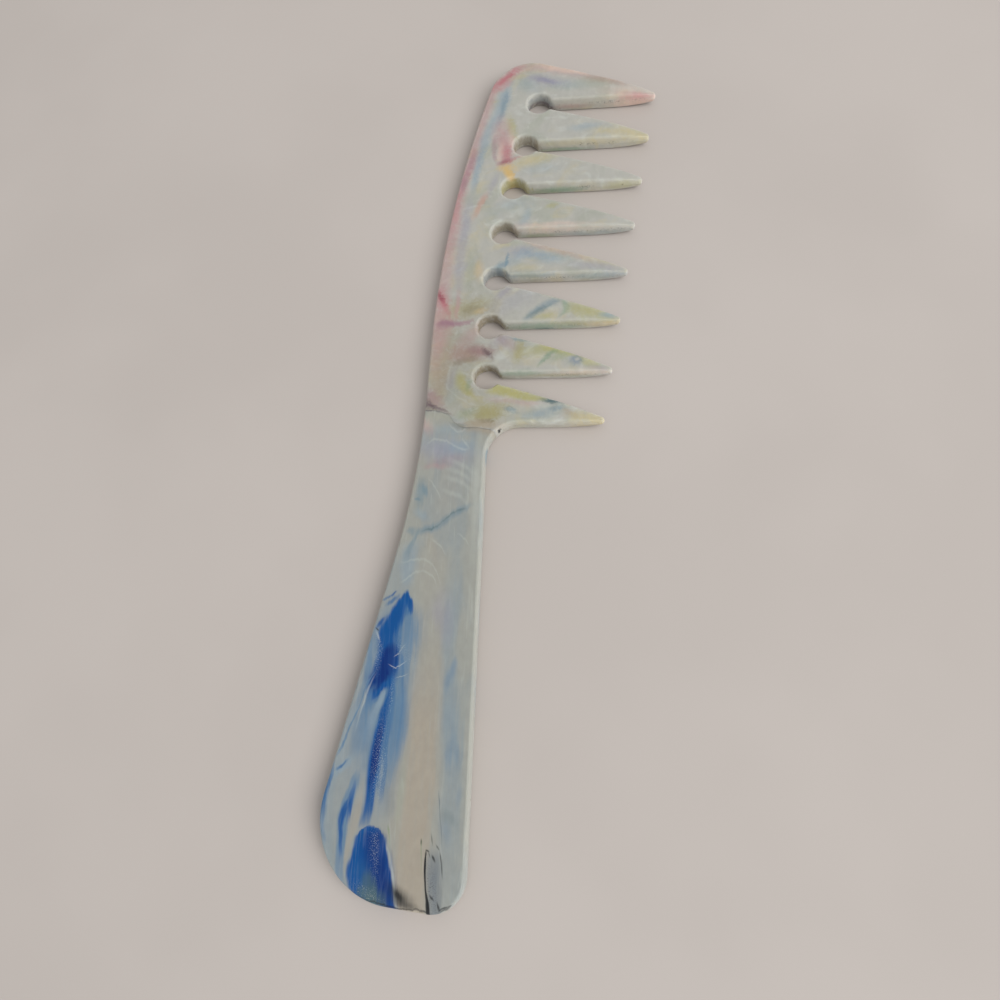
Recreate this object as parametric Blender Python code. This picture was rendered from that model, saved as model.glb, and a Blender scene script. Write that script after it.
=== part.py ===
"""Wide-tooth comb, moulded flat from two charges of marbled plastic.

The first charge fills the toothed head, the second the handle, and they fuse at a weld line
across the neck. The comb is drawn in plan with x = 0 on the handle's straight edge and y = 0
at its end, +x towards the tooth tips and +y towards the crown. It lies on z = 0. Both pieces
are then shifted together, so that the origin is below the middle of the comb's box.
"""

import math

import bmesh
import bpy
from mathutils import Vector

# Body
THICKNESS = 0.0040
EDGE_RADIUS = 0.00035
EDGE_STEPS = 2

# Handle
HANDLE_LENGTH = 0.0935
NECK_WIDTH = 0.01285
NECK_RADIUS = 0.190
FLARE_ANGLE = math.radians(12.5)
HEEL_RADIUS = 0.0150
TOE_RADIUS = 0.0060
END_SLOPE = math.radians(5.5)
CROTCH_RADIUS = 0.0072

# Spine and crown of the head
SPINE_RADIUS = 0.285
SPINE_WIDTH = 0.0126
CROWN_RADIUS = 0.0096

# Teeth, and the gap above each one but the topmost
TOOTH_COUNT = 8
PITCH = 0.0120
LOWEST_PITCH = 0.0115
ROOT_HOLE_RADIUS = 0.0030
ROOT_DROP = 0.00105
MOUTH = 0.00285
MOUTH_CORNER_RADIUS = 0.0008
SLANT_RADIUS = 0.400
SHORTEST_REACH = 0.0249
TIP_LEAN = math.radians(8.33)
TIP_RADIUS = 0.0005
TIP_LIFT = 0.0003
TIP_THICKNESS = 0.0018
TIP_TAPER_LENGTH = 0.0100
TAPER_STATION_SHARES = (1.0, 0.75, 0.5, 0.3, 0.15)

# Weld line across the neck
WELD_RISE = 0.0028
WELD_SLOPE = math.radians(19)
WELD_GAP = 0.0003

# Finish: colour, roughness and metallic value of each charge
HEAD_COLOUR = (0.47, 0.49, 0.42)
HANDLE_COLOUR = (0.42, 0.47, 0.46)
PLASTIC_ROUGHNESS = 0.42
PLASTIC_METALLIC = 0.0

# Straight runs that stand for each arc
BIG_ARC_STEPS = 12
CORNER_STEPS = 10
ROOT_HOLE_STEPS = 20
SMALL_STEPS = 4
TIP_STEPS = 7

# An edge sharper than this is a rim, and takes the edge radius
RIM_ANGLE = math.radians(45)

RIGHT = Vector((1, 0))
UP = Vector((0, 1))


def heading(angle):
    """Unit vector that points along an angle in plan."""
    return Vector((math.cos(angle), math.sin(angle)))


def angle_of(vector):
    return math.atan2(vector.y, vector.x)


def left_of(direction):
    """Unit vector a quarter turn to the left, which is into the plastic."""
    return Vector((-direction.y, direction.x))


def arc(centre, radius, start, end, steps):
    """Points of an arc from one angle to another, ends included."""
    angles = [start + (end - start) * step / steps for step in range(steps + 1)]
    return [centre + radius * heading(angle) for angle in angles]


def turn(start, end, clockwise=False):
    """End angle, unwound so that the arc from start to it goes the stated way round."""
    if clockwise:
        return start - (start - end) % math.tau
    return start + (end - start) % math.tau


def crossing(point, direction, other_point, other_direction):
    """Where two lines in plan cross."""
    normal = left_of(other_direction)
    return point + direction * ((other_point - point).dot(normal) / direction.dot(normal))


def meet(centre_a, radius_a, centre_b, radius_b):
    """Where two circles cross, on the left as seen from the first centre to the second."""
    between = centre_b - centre_a
    along = (between.dot(between) + radius_a * radius_a - radius_b * radius_b) / (2 * between.length)
    aside = math.sqrt(radius_a * radius_a - along * along)
    direction = between.normalized()
    return centre_a + direction * along + left_of(direction) * aside


def reach_circle(point, direction, centre, radius):
    """The last point along a line that lies on a circle."""
    offset = point - centre
    along = offset.dot(direction)
    return point + direction * (math.sqrt(along * along - offset.dot(offset) + radius * radius) - along)


def round_corner(corner, before, after, radius, steps):
    """Arc that rounds the corner between two headings."""
    bend = before.angle_signed(after)
    side = left_of(before) if bend < 0 else -left_of(before)
    setback = radius * abs(math.tan(bend / 2))
    centre = corner - before * setback + side * radius
    start = angle_of(-side)
    return arc(centre, radius, start, start - bend, steps)


def tooth_side(tooth):
    """Height of a tooth's straight lower side; the lowest tooth is number 0."""
    if tooth == 0:
        return HANDLE_LENGTH
    return HANDLE_LENGTH + LOWEST_PITCH + (tooth - 1) * PITCH


def tip_x(tooth):
    return SHORTEST_REACH + (tooth_side(tooth) - HANDLE_LENGTH) * math.tan(TIP_LEAN)


def neck_y():
    """The neck is narrowest level with the lowest root hole."""
    return tooth_side(1) - ROOT_DROP


def spine_centre():
    return Vector((SPINE_RADIUS - NECK_WIDTH, neck_y()))


def root_hole(tooth):
    """Centre of the root hole above a tooth, on an arc that runs along the spine."""
    level = Vector((0, tooth_side(tooth + 1) - ROOT_DROP))
    return reach_circle(level, -RIGHT, spine_centre(), SPINE_RADIUS - SPINE_WIDTH)


def mouth_floor(tooth):
    """Where the slanted upper side of a tooth would meet its root hole, were it not rounded."""
    level = Vector((root_hole(tooth).x, tooth_side(tooth + 1) - MOUTH))
    return reach_circle(level, RIGHT, root_hole(tooth), ROOT_HOLE_RADIUS)


def tip_centre(tooth):
    return Vector((tip_x(tooth) - TIP_RADIUS, tooth_side(tooth) + TIP_LIFT + TIP_RADIUS))


def slant_centre(tooth):
    """Centre of the shallow arc that a tooth's upper side follows from its tip to its root."""
    return meet(tip_centre(tooth), SLANT_RADIUS - TIP_RADIUS, mouth_floor(tooth), SLANT_RADIUS)


def slant_y(tooth, x):
    level = Vector((x, slant_centre(tooth).y))
    return reach_circle(level, UP, slant_centre(tooth), SLANT_RADIUS).y


def from_tip(tooth, x):
    """Share of the taper that lies between a tooth's tip and x, at most the whole of it."""
    return min((tip_x(tooth) - x) / TIP_TAPER_LENGTH, 1)


def taper_thickness(tooth, x):
    """Thickness of a tooth, which thins on both faces towards its tip."""
    return THICKNESS - (THICKNESS - TIP_THICKNESS) * (1 - from_tip(tooth, x)) ** 2


def taper_stations(tooth):
    return [tip_x(tooth) - share * TIP_TAPER_LENGTH for share in TAPER_STATION_SHARES]


def lower_side(tooth):
    """The straight lower side of a tooth, which lifts a little towards the tip."""
    lift = [TIP_LIFT * (1 - share) ** 2 for share in TAPER_STATION_SHARES]
    return [Vector((x, tooth_side(tooth) + rise)) for x, rise in zip(taper_stations(tooth), lift)]


def tip_round(tooth):
    start = math.atan(2 * TIP_LIFT / TIP_TAPER_LENGTH) - math.pi / 2
    end = angle_of(tip_centre(tooth) - slant_centre(tooth))
    return arc(tip_centre(tooth), TIP_RADIUS, start, end, TIP_STEPS)


def upper_side(tooth):
    return [Vector((x, slant_y(tooth, x))) for x in reversed(taper_stations(tooth))]


def root_of_slant(tooth, end):
    """The rest of a tooth's upper side, from where its taper starts to an angle of its arc."""
    start = angle_of(upper_side(tooth)[-1] - slant_centre(tooth))
    return arc(slant_centre(tooth), SLANT_RADIUS, start, end, SMALL_STEPS)[1:]


def gap_outline(tooth):
    """The floor, mouth and root hole of the gap above a tooth, up to the next tooth."""
    hole = root_hole(tooth)
    reach = ROOT_HOLE_RADIUS + MOUTH_CORNER_RADIUS
    floor_centre = meet(hole, reach, slant_centre(tooth), SLANT_RADIUS - MOUTH_CORNER_RADIUS)
    level = Vector((hole.x, tooth_side(tooth + 1) + MOUTH_CORNER_RADIUS))
    roof_centre = reach_circle(level, RIGHT, hole, reach)

    floor_start = angle_of(floor_centre - slant_centre(tooth))
    floor_end = turn(floor_start, angle_of(hole - floor_centre))
    roof_start = angle_of(hole - roof_centre)
    roof_end = turn(roof_start, -math.pi / 2)
    hole_start = angle_of(floor_centre - hole)
    hole_end = turn(hole_start, angle_of(roof_centre - hole), clockwise=True)
    corner = arc(floor_centre, MOUTH_CORNER_RADIUS, floor_start, floor_end, SMALL_STEPS)
    rim = arc(hole, ROOT_HOLE_RADIUS, hole_start, hole_end, ROOT_HOLE_STEPS)
    roof = arc(roof_centre, MOUTH_CORNER_RADIUS, roof_start, roof_end, SMALL_STEPS)
    return root_of_slant(tooth, floor_start) + corner[1:] + rim[1:-1] + roof


def crown_outline():
    """The slant of the topmost tooth, the round crown, and the spine down to the neck."""
    top = TOOTH_COUNT - 1
    reach = SPINE_RADIUS - CROWN_RADIUS
    centre = meet(slant_centre(top), SLANT_RADIUS - CROWN_RADIUS, spine_centre(), reach)
    start = angle_of(centre - slant_centre(top))
    end = turn(start, angle_of(centre - spine_centre()))
    crown = arc(centre, CROWN_RADIUS, start, end, CORNER_STEPS)
    spine = arc(spine_centre(), SPINE_RADIUS, end, math.pi, BIG_ARC_STEPS)
    return root_of_slant(top, start) + crown[1:] + spine[1:]


def handle_outline():
    """From the neck down the flared back, round the end and up the straight edge."""
    neck_centre = Vector((-NECK_WIDTH - NECK_RADIUS, neck_y()))
    neck = arc(neck_centre, NECK_RADIUS, 0, -FLARE_ANGLE, BIG_ARC_STEPS)
    down = heading(-math.pi / 2 - FLARE_ANGLE)
    along = heading(-END_SLOPE)
    toe_touch = Vector((-TOE_RADIUS, TOE_RADIUS)) - left_of(along) * TOE_RADIUS
    heel_corner = crossing(neck[-1], down, toe_touch, along)
    toe_corner = crossing(toe_touch, along, Vector((0, 0)), UP)
    crotch_corner = Vector((0, HANDLE_LENGTH))
    heel = round_corner(heel_corner, down, along, HEEL_RADIUS, CORNER_STEPS)
    toe = round_corner(toe_corner, along, UP, TOE_RADIUS, CORNER_STEPS)
    crotch = round_corner(crotch_corner, UP, RIGHT, CROTCH_RADIUS, CORNER_STEPS)
    return neck[1:] + heel + toe + crotch


def comb_mesh():
    """The whole comb as one closed bmesh, with thin tooth tips and rounded rims."""
    mesh = bmesh.new()
    thickness = mesh.verts.layers.float.new("thickness")

    def lay(points, tooth=None):
        verts = [mesh.verts.new((point.x, point.y, 0)) for point in points]
        for vert in verts:
            vert[thickness] = THICKNESS if tooth is None else taper_thickness(tooth, vert.co.x)
        return verts

    outline = lay(handle_outline())
    rungs = []
    for tooth in range(TOOTH_COUNT):
        lower = lay(lower_side(tooth), tooth)
        tip = lay(tip_round(tooth), tooth)
        upper = lay(upper_side(tooth), tooth)
        rungs += list(zip(lower, reversed(upper))) + [(tip[0], tip[-1])]
        outline += lower + tip + upper
        if tooth < TOOTH_COUNT - 1:
            outline += lay(gap_outline(tooth))
    outline += lay(crown_outline())

    # Rungs across each tooth carry the taper of its tip
    floor = [mesh.faces.new(outline)]
    for low, high in rungs:
        shared = next(face for face in low.link_faces if face in high.link_faces)
        floor.append(bmesh.utils.face_split(shared, low, high)[0])

    # Thickness, thinned on both faces towards the tips
    raised = bmesh.ops.extrude_face_region(mesh, geom=mesh.faces[:])["geom"]
    for vert in mesh.verts:
        vert.co.z = (THICKNESS - vert[thickness]) / 2
    for vert in (item for item in raised if isinstance(item, bmesh.types.BMVert)):
        vert.co.z = (THICKNESS + vert[thickness]) / 2
    bmesh.ops.recalc_face_normals(mesh, faces=mesh.faces)

    rims = [edge for edge in mesh.edges if edge.calc_face_angle() > RIM_ANGLE]
    bmesh.ops.bevel(mesh, geom=rims, offset=EDGE_RADIUS, segments=EDGE_STEPS, profile=0.5, affect="EDGES")
    return mesh


def cut_at_weld(mesh, side):
    """One charge of the comb: side 1 keeps the head above the weld line, side -1 the handle."""
    piece = mesh.copy()
    across = heading(-WELD_SLOPE)
    up = left_of(across)
    start = Vector((-NECK_WIDTH, HANDLE_LENGTH + WELD_RISE)) + side * up * WELD_GAP / 2
    geometry = piece.verts[:] + piece.edges[:] + piece.faces[:]
    cut = bmesh.ops.bisect_plane(
        piece,
        geom=geometry,
        plane_co=(start.x, start.y, 0),
        plane_no=(side * up.x, side * up.y, 0),
        clear_inner=True,
    )["geom_cut"]
    bmesh.ops.contextual_create(piece, geom=[item for item in cut if isinstance(item, bmesh.types.BMEdge)])
    bmesh.ops.recalc_face_normals(piece, faces=piece.faces)
    return piece


def plastic(name, colour):
    material = bpy.data.materials.new(name)
    material.use_nodes = True
    shader = material.node_tree.nodes["Principled BSDF"]
    shader.inputs["Base Color"].default_value = (*colour, 1)
    shader.inputs["Roughness"].default_value = PLASTIC_ROUGHNESS
    shader.inputs["Metallic"].default_value = PLASTIC_METALLIC
    return material


def add_piece(name, mesh, material, location):
    data = bpy.data.meshes.new(name)
    mesh.to_mesh(data)
    mesh.free()
    data.materials.append(material)
    data.shade_smooth()
    data.set_sharp_from_angle(angle=RIM_ANGLE)
    piece = bpy.data.objects.new(name, data)
    piece.location = location
    bpy.context.scene.collection.objects.link(piece)


def middle_of(mesh):
    """Point on the underside below the middle of a mesh's box."""
    x = [vert.co.x for vert in mesh.verts]
    y = [vert.co.y for vert in mesh.verts]
    return Vector(((min(x) + max(x)) / 2, (min(y) + max(y)) / 2, 0))


for leftover in list(bpy.data.objects):
    bpy.data.objects.remove(leftover, do_unlink=True)

comb = comb_mesh()
shift = -middle_of(comb)
add_piece("toothed_head", cut_at_weld(comb, 1), plastic("head_plastic", HEAD_COLOUR), shift)
add_piece("handle", cut_at_weld(comb, -1), plastic("handle_plastic", HANDLE_COLOUR), shift)
comb.free()
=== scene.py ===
"""Marbled wide-tooth comb on a pale table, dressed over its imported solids.

The comb is one moulding of two fused charges of plastic. Each charge is modelled as its own
piece, and the two meet along the weld line across the neck. Lengths are millimetres until a
piece is built. A place in plan has x = 0 on the handle's straight edge and y = 0 at the
handle's end, with +x towards the tooth tips and +y towards the crown.
"""

import logging
import math
from collections.abc import Callable, Iterable
from dataclasses import dataclass
from enum import Enum

import bmesh
import bpy
from mathutils import Matrix, Vector

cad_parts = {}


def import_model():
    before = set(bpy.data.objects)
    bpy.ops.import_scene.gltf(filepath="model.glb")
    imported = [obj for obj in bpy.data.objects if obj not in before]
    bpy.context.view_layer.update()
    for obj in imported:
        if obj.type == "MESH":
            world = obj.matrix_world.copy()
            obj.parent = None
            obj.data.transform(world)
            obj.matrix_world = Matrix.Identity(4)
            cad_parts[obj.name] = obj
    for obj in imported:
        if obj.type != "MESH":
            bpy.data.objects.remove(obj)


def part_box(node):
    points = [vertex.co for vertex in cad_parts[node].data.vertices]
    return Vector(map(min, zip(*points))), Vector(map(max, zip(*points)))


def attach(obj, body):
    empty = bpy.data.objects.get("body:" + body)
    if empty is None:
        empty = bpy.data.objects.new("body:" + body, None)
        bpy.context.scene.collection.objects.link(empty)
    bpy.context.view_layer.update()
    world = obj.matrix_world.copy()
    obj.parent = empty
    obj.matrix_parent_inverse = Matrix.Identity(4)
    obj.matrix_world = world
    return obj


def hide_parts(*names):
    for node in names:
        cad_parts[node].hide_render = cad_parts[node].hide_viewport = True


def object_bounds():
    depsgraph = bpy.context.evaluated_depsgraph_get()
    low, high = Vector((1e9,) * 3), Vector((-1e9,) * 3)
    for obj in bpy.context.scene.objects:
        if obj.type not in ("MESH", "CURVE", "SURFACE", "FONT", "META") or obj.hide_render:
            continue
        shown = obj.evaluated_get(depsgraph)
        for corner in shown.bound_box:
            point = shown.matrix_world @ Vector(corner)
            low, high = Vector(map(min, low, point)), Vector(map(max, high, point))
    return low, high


MM = 0.001
# Two heights or points closer than this, in millimetres, count as one.
HAIR = 0.001
RIGHT = Vector((1, 0))
UP = Vector((0, 1))

LOG = logging.getLogger("comb")


def heading(angle: float) -> Vector:
    """Unit vector that points along an angle in plan."""
    return Vector((math.cos(angle), math.sin(angle)))


def angle_of(vector: Vector) -> float:
    """Angle of a vector in plan."""
    return math.atan2(vector.y, vector.x)


def left_of(direction: Vector) -> Vector:
    """Unit vector a quarter turn to the left."""
    return Vector((-direction.y, direction.x))


def unwound(start: float, end: float, clockwise: bool = False) -> float:
    """End angle, unwound so that the turn from start to it goes one way round.

    Args:
        start: Angle that the turn leaves from.
        end: Angle that the turn reaches, in any winding.
        clockwise: Whether the turn goes clockwise.

    Returns:
        The end angle in the winding that suits the turn.
    """
    if clockwise:
        return start - (start - end) % math.tau
    return start + (end - start) % math.tau


def crossing(point: Vector, direction: Vector, other: Vector, other_direction: Vector) -> Vector:
    """Where two lines in plan cross.

    Args:
        point: A point on the first line.
        direction: The first line's direction.
        other: A point on the second line.
        other_direction: The second line's direction.

    Returns:
        The point that both lines share.
    """
    normal = left_of(other_direction)
    return point + direction * ((other - point).dot(normal) / direction.dot(normal))


def meet(centre_a: Vector, radius_a: float, centre_b: Vector, radius_b: float) -> Vector:
    """Where two circles cross, on the left as seen from the first centre to the second.

    Args:
        centre_a: Centre of the first circle.
        radius_a: Radius of the first circle.
        centre_b: Centre of the second circle.
        radius_b: Radius of the second circle.

    Returns:
        The crossing on the left.
    """
    between = centre_b - centre_a
    along = (between.dot(between) + radius_a**2 - radius_b**2) / (2 * between.length)
    direction = between.normalized()
    return centre_a + direction * along + left_of(direction) * math.sqrt(radius_a**2 - along**2)


def reach_circle(point: Vector, direction: Vector, centre: Vector, radius: float) -> Vector:
    """The last point along a line that lies on a circle.

    Args:
        point: Where the line starts.
        direction: The line's unit direction.
        centre: The circle's centre.
        radius: The circle's radius.

    Returns:
        The far crossing of the line and the circle.
    """
    offset = point - centre
    along = offset.dot(direction)
    return point + direction * (math.sqrt(along**2 - offset.dot(offset) + radius**2) - along)


@dataclass(frozen=True)
class Arc:
    """A round stretch of an outline, from one angle of its circle to another."""

    centre: Vector
    radius: float
    start: float
    end: float
    steps: int

    def at(self, angle: float) -> Vector:
        """Point of the circle at an angle."""
        return self.centre + self.radius * heading(angle)

    @property
    def first(self) -> Vector:
        """Point that the arc starts from."""
        return self.at(self.start)


def rounded(corner: Vector, before: Vector, after: Vector, radius: float, steps: int) -> Arc:
    """Arc that rounds the corner between two headings.

    Args:
        corner: The sharp corner.
        before: Unit heading towards the corner.
        after: Unit heading away from it.
        radius: Radius of the rounding.
        steps: Straight runs that stand for the arc.

    Returns:
        The arc that touches both headings.
    """
    bend = before.angle_signed(after)
    side = left_of(before) if bend < 0 else -left_of(before)
    centre = corner - before * radius * abs(math.tan(bend / 2)) + side * radius
    start = angle_of(-side)
    return Arc(centre, radius, start, start - bend, steps)


Outline = list[Arc | Vector]
Place = tuple[float, float]
Triple = tuple[float, float, float]
# A strand's place along its run, its place across it, its half width there and its strength.
Station = tuple[float, float, float, float]


@dataclass(frozen=True)
class CombPlan:
    """Outline of the comb in plan, worked out from its driving sizes.

    Steps are the straight runs that stand for each arc. The handle's lowest point is at lowest_y,
    because its end slopes from the heel to the rounded toe.
    """

    handle_length: float = 93.5
    neck_width: float = 12.85
    neck_radius: float = 190.0
    flare: float = math.radians(12.5)
    heel_radius: float = 15.0
    toe_radius: float = 6.0
    end_slope: float = math.radians(5.5)
    crotch_radius: float = 7.2
    spine_radius: float = 285.0
    spine_width: float = 12.6
    crown_radius: float = 9.6
    teeth: int = 8
    pitch: float = 12.0
    lowest_pitch: float = 11.5
    hole_radius: float = 3.0
    hole_drop: float = 1.05
    mouth: float = 2.85
    mouth_corner: float = 0.8
    slant_radius: float = 400.0
    shortest_reach: float = 24.6
    tip_lean: float = math.radians(8.33)
    tip_radius: float = 0.4
    tip_lift: float = 0.3
    tip_taper: float = 10.0
    lowest_y: float = 0.015
    lift_steps: int = 6
    tip_steps: int = 9
    slant_steps: int = 14
    mouth_steps: int = 6
    hole_steps: int = 40
    crown_steps: int = 28
    spine_steps: int = 30
    neck_steps: int = 20
    heel_steps: int = 30
    toe_steps: int = 16
    crotch_steps: int = 9
    weld_on_neck: float = math.radians(-2.307)
    weld_on_crotch: float = math.radians(137)
    weld: tuple[Place, ...] = (
        (-11.6, 96.1),
        (-10.39, 96.03),
        (-9.1, 95.6),
        (-7.97, 95.31),
        (-7.3, 94.4),
        (-6.78, 93.47),
        (-6.1, 92.75),
        (-5.44, 92.32),
        (-3.6, 92.12),
        (-2.01, 92.06),
        (-0.2, 91.8),
        (1.0, 91.65),
    )

    def side_y(self, tooth: int) -> float:
        """Height of a tooth's straight lower side.

        Args:
            tooth: Number of the tooth, from 0 for the lowest.

        Returns:
            The height in plan.
        """
        if tooth == 0:
            return self.handle_length
        return self.handle_length + self.lowest_pitch + (tooth - 1) * self.pitch

    def tip_x(self, tooth: int) -> float:
        """How far a tooth reaches from the handle's straight edge."""
        return self.shortest_reach + (self.side_y(tooth) - self.handle_length) * math.tan(self.tip_lean)

    @property
    def neck_y(self) -> float:
        """Height at which the neck is narrowest, level with the lowest root hole."""
        return self.side_y(1) - self.hole_drop

    @property
    def spine_centre(self) -> Vector:
        """Centre of the arc that the spine's back follows."""
        return Vector((self.spine_radius - self.neck_width, self.neck_y))

    def hole(self, tooth: int) -> Vector:
        """Centre of the root hole above a tooth."""
        level = Vector((0, self.side_y(tooth + 1) - self.hole_drop))
        return reach_circle(level, -RIGHT, self.spine_centre, self.spine_radius - self.spine_width)

    def tip_centre(self, tooth: int) -> Vector:
        """Centre of a tooth's rounded tip."""
        height = self.side_y(tooth) + self.tip_lift + self.tip_radius
        return Vector((self.tip_x(tooth) - self.tip_radius, height))

    def slant_centre(self, tooth: int) -> Vector:
        """Centre of the shallow arc of a tooth's upper side, from its tip to its root hole.

        Args:
            tooth: Number of the tooth.

        Returns:
            The arc's centre in plan.
        """
        level = Vector((self.hole(tooth).x, self.side_y(tooth + 1) - self.mouth))
        root = reach_circle(level, RIGHT, self.hole(tooth), self.hole_radius)
        return meet(self.tip_centre(tooth), self.slant_radius - self.tip_radius, root, self.slant_radius)

    def slant(self, tooth: int, end: float) -> Arc:
        """A tooth's upper side.

        Args:
            tooth: Number of the tooth.
            end: Angle of the side's arc at which it ends.

        Returns:
            The arc from the tooth's tip.
        """
        centre = self.slant_centre(tooth)
        start = angle_of(self.tip_centre(tooth) - centre)
        return Arc(centre, self.slant_radius, start, end, self.slant_steps)

    def tooth_outline(self, tooth: int) -> Outline:
        """The lower side and the tip of a tooth.

        Args:
            tooth: Number of the tooth, from 0 for the lowest.

        Returns:
            A straight run, the lift towards the tip, and the round of the tip.
        """
        run = self.tip_taper - self.tip_radius
        lift_radius = (run**2 + self.tip_lift**2) / (2 * self.tip_lift) + self.tip_radius
        lift_centre = Vector((self.tip_x(tooth) - self.tip_taper, self.side_y(tooth) + lift_radius))
        level = -math.pi / 2
        lifted = angle_of(self.tip_centre(tooth) - lift_centre)
        top = angle_of(self.tip_centre(tooth) - self.slant_centre(tooth))
        return [
            Arc(lift_centre, lift_radius, level, lifted, self.lift_steps),
            Arc(self.tip_centre(tooth), self.tip_radius, lifted, top, self.tip_steps),
        ]

    def gap_outline(self, tooth: int) -> Outline:
        """The upper side of a tooth, and the mouth and root hole of the gap above it.

        Args:
            tooth: Number of the tooth below the gap.

        Returns:
            The outline from the tooth's tip to the lower side of the next tooth.
        """
        hole = self.hole(tooth)
        reach = self.hole_radius + self.mouth_corner
        centre = self.slant_centre(tooth)
        floor = meet(hole, reach, centre, self.slant_radius - self.mouth_corner)
        level = Vector((hole.x, self.side_y(tooth + 1) + self.mouth_corner))
        roof = reach_circle(level, RIGHT, hole, reach)
        floor_start = angle_of(floor - centre)
        roof_start = angle_of(hole - roof)
        rim_start = angle_of(floor - hole)
        floor_end = unwound(floor_start, angle_of(hole - floor))
        roof_end = unwound(roof_start, -math.pi / 2)
        rim_end = unwound(rim_start, angle_of(roof - hole), clockwise=True)
        return [
            self.slant(tooth, floor_start),
            Arc(floor, self.mouth_corner, floor_start, floor_end, self.mouth_steps),
            Arc(hole, self.hole_radius, rim_start, rim_end, self.hole_steps),
            Arc(roof, self.mouth_corner, roof_start, roof_end, self.mouth_steps),
        ]

    def crown_outline(self) -> Outline:
        """The head's outline over its top and down its back.

        Returns:
            The topmost slant, the round crown, and the spine's back down to the weld line.
        """
        top = self.teeth - 1
        reach = self.spine_radius - self.crown_radius
        slant_centre = self.slant_centre(top)
        centre = meet(slant_centre, self.slant_radius - self.crown_radius, self.spine_centre, reach)
        start = angle_of(centre - slant_centre)
        end = unwound(start, angle_of(centre - self.spine_centre))
        return [
            self.slant(top, start),
            Arc(centre, self.crown_radius, start, end, self.crown_steps),
            Arc(self.spine_centre, self.spine_radius, end, math.pi, self.spine_steps),
            self.neck(0, self.weld_on_neck),
        ]

    @property
    def weld_points(self) -> list[Vector]:
        """Points of the weld line between its two ends, from the spine to the crotch."""
        return [Vector(point) for point in self.weld]

    def neck(self, start: float, end: float) -> Arc:
        """Part of the hollow curve of the neck's back."""
        centre = Vector((-self.neck_width - self.neck_radius, self.neck_y))
        return Arc(centre, self.neck_radius, start, end, self.neck_steps)

    def crotch(self, start: float, end: float) -> Arc:
        """Part of the round corner between the handle and the lowest tooth."""
        centre = Vector((self.crotch_radius, self.handle_length - self.crotch_radius))
        return Arc(centre, self.crotch_radius, start, end, self.crotch_steps)

    def head_outline(self) -> Outline:
        """Outline of the toothed head.

        Returns:
            The outline from the weld line's right end, round the head and back along the line.
        """
        outline: Outline = [self.crotch(self.weld_on_crotch, math.pi / 2)]
        for tooth in range(self.teeth):
            outline += self.tooth_outline(tooth)
            if tooth < self.teeth - 1:
                outline += self.gap_outline(tooth)
        return outline + self.crown_outline() + self.weld_points

    def handle_outline(self) -> Outline:
        """Outline of the handle.

        Returns:
            The outline from the weld line's left end, round the handle and back along the line.
        """
        neck = self.neck(self.weld_on_neck, -self.flare)
        down = heading(-math.pi / 2 - self.flare)
        along = heading(-self.end_slope)
        toe_touch = Vector((-self.toe_radius, self.toe_radius)) - left_of(along) * self.toe_radius
        heel_corner = crossing(neck.at(-self.flare), down, toe_touch, along)
        toe_corner = crossing(toe_touch, along, Vector((0, 0)), UP)
        return [
            neck,
            rounded(heel_corner, down, along, self.heel_radius, self.heel_steps),
            rounded(toe_corner, along, UP, self.toe_radius, self.toe_steps),
            self.crotch(math.pi, self.weld_on_crotch),
            *reversed(self.weld_points),
        ]


class PlanPen:
    """A pen that draws a closed outline in edit mode, with extrudes for runs and spins for arcs."""

    def __init__(self, name: str, start: Vector, shift: Vector) -> None:
        """Starts a new object as a single vertex.

        Args:
            name: Name of the new object.
            start: First point of the outline, in plan millimetres.
            shift: World place of the plan's origin, in metres.
        """
        self.shift = shift
        self.place = start
        bpy.ops.object.select_all(action="DESELECT")
        bpy.ops.mesh.primitive_plane_add(size=MM, location=self.world(start))
        self.piece = bpy.context.object
        self.piece.name = name
        bpy.ops.object.transform_apply(location=True, rotation=False, scale=False)
        bpy.ops.object.mode_set(mode="EDIT")
        bpy.ops.mesh.select_mode(type="VERT")
        bpy.ops.mesh.select_all(action="SELECT")
        bpy.ops.mesh.merge(type="CENTER")

    def world(self, point: Vector) -> Vector:
        """World place of a point in plan."""
        return Vector((point.x, point.y, 0)) * MM + self.shift

    def run_to(self, point: Vector) -> None:
        """Draws a straight run, unless the pen is already there.

        Args:
            point: Where the run ends, in plan.
        """
        step = (point - self.place) * MM
        if step.length > HAIR * MM:
            bpy.ops.mesh.extrude_vertices_move(TRANSFORM_OT_translate={"value": (step.x, step.y, 0)})
        self.place = point

    def sweep(self, arc: Arc) -> None:
        """Draws an arc from where the pen stands.

        Args:
            arc: The arc, whose first point is there.
        """
        bpy.ops.mesh.spin(
            steps=arc.steps,
            dupli=False,
            angle=arc.start - arc.end,
            center=self.world(arc.centre),
            axis=(0, 0, 1),
        )
        self.place = arc.at(arc.end)

    def draw(self, outline: Outline) -> bpy.types.Object:
        """Draws a whole outline, closes it and fills it.

        Args:
            outline: Arcs and points in order; runs join them.

        Returns:
            The object, still in edit mode, with one flat face.
        """
        start = self.place
        for stretch in outline:
            if isinstance(stretch, Arc):
                self.run_to(stretch.first)
                self.sweep(stretch)
            else:
                self.run_to(stretch)
        self.run_to(start)
        bpy.ops.mesh.select_all(action="SELECT")
        bpy.ops.mesh.remove_doubles(threshold=HAIR * MM)
        bpy.ops.mesh.edge_face_add()
        return self.piece


class Element(Enum):
    """Kind of mesh element that a selection is made of."""

    POINTS = "VERT"
    EDGES = "EDGE"


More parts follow.
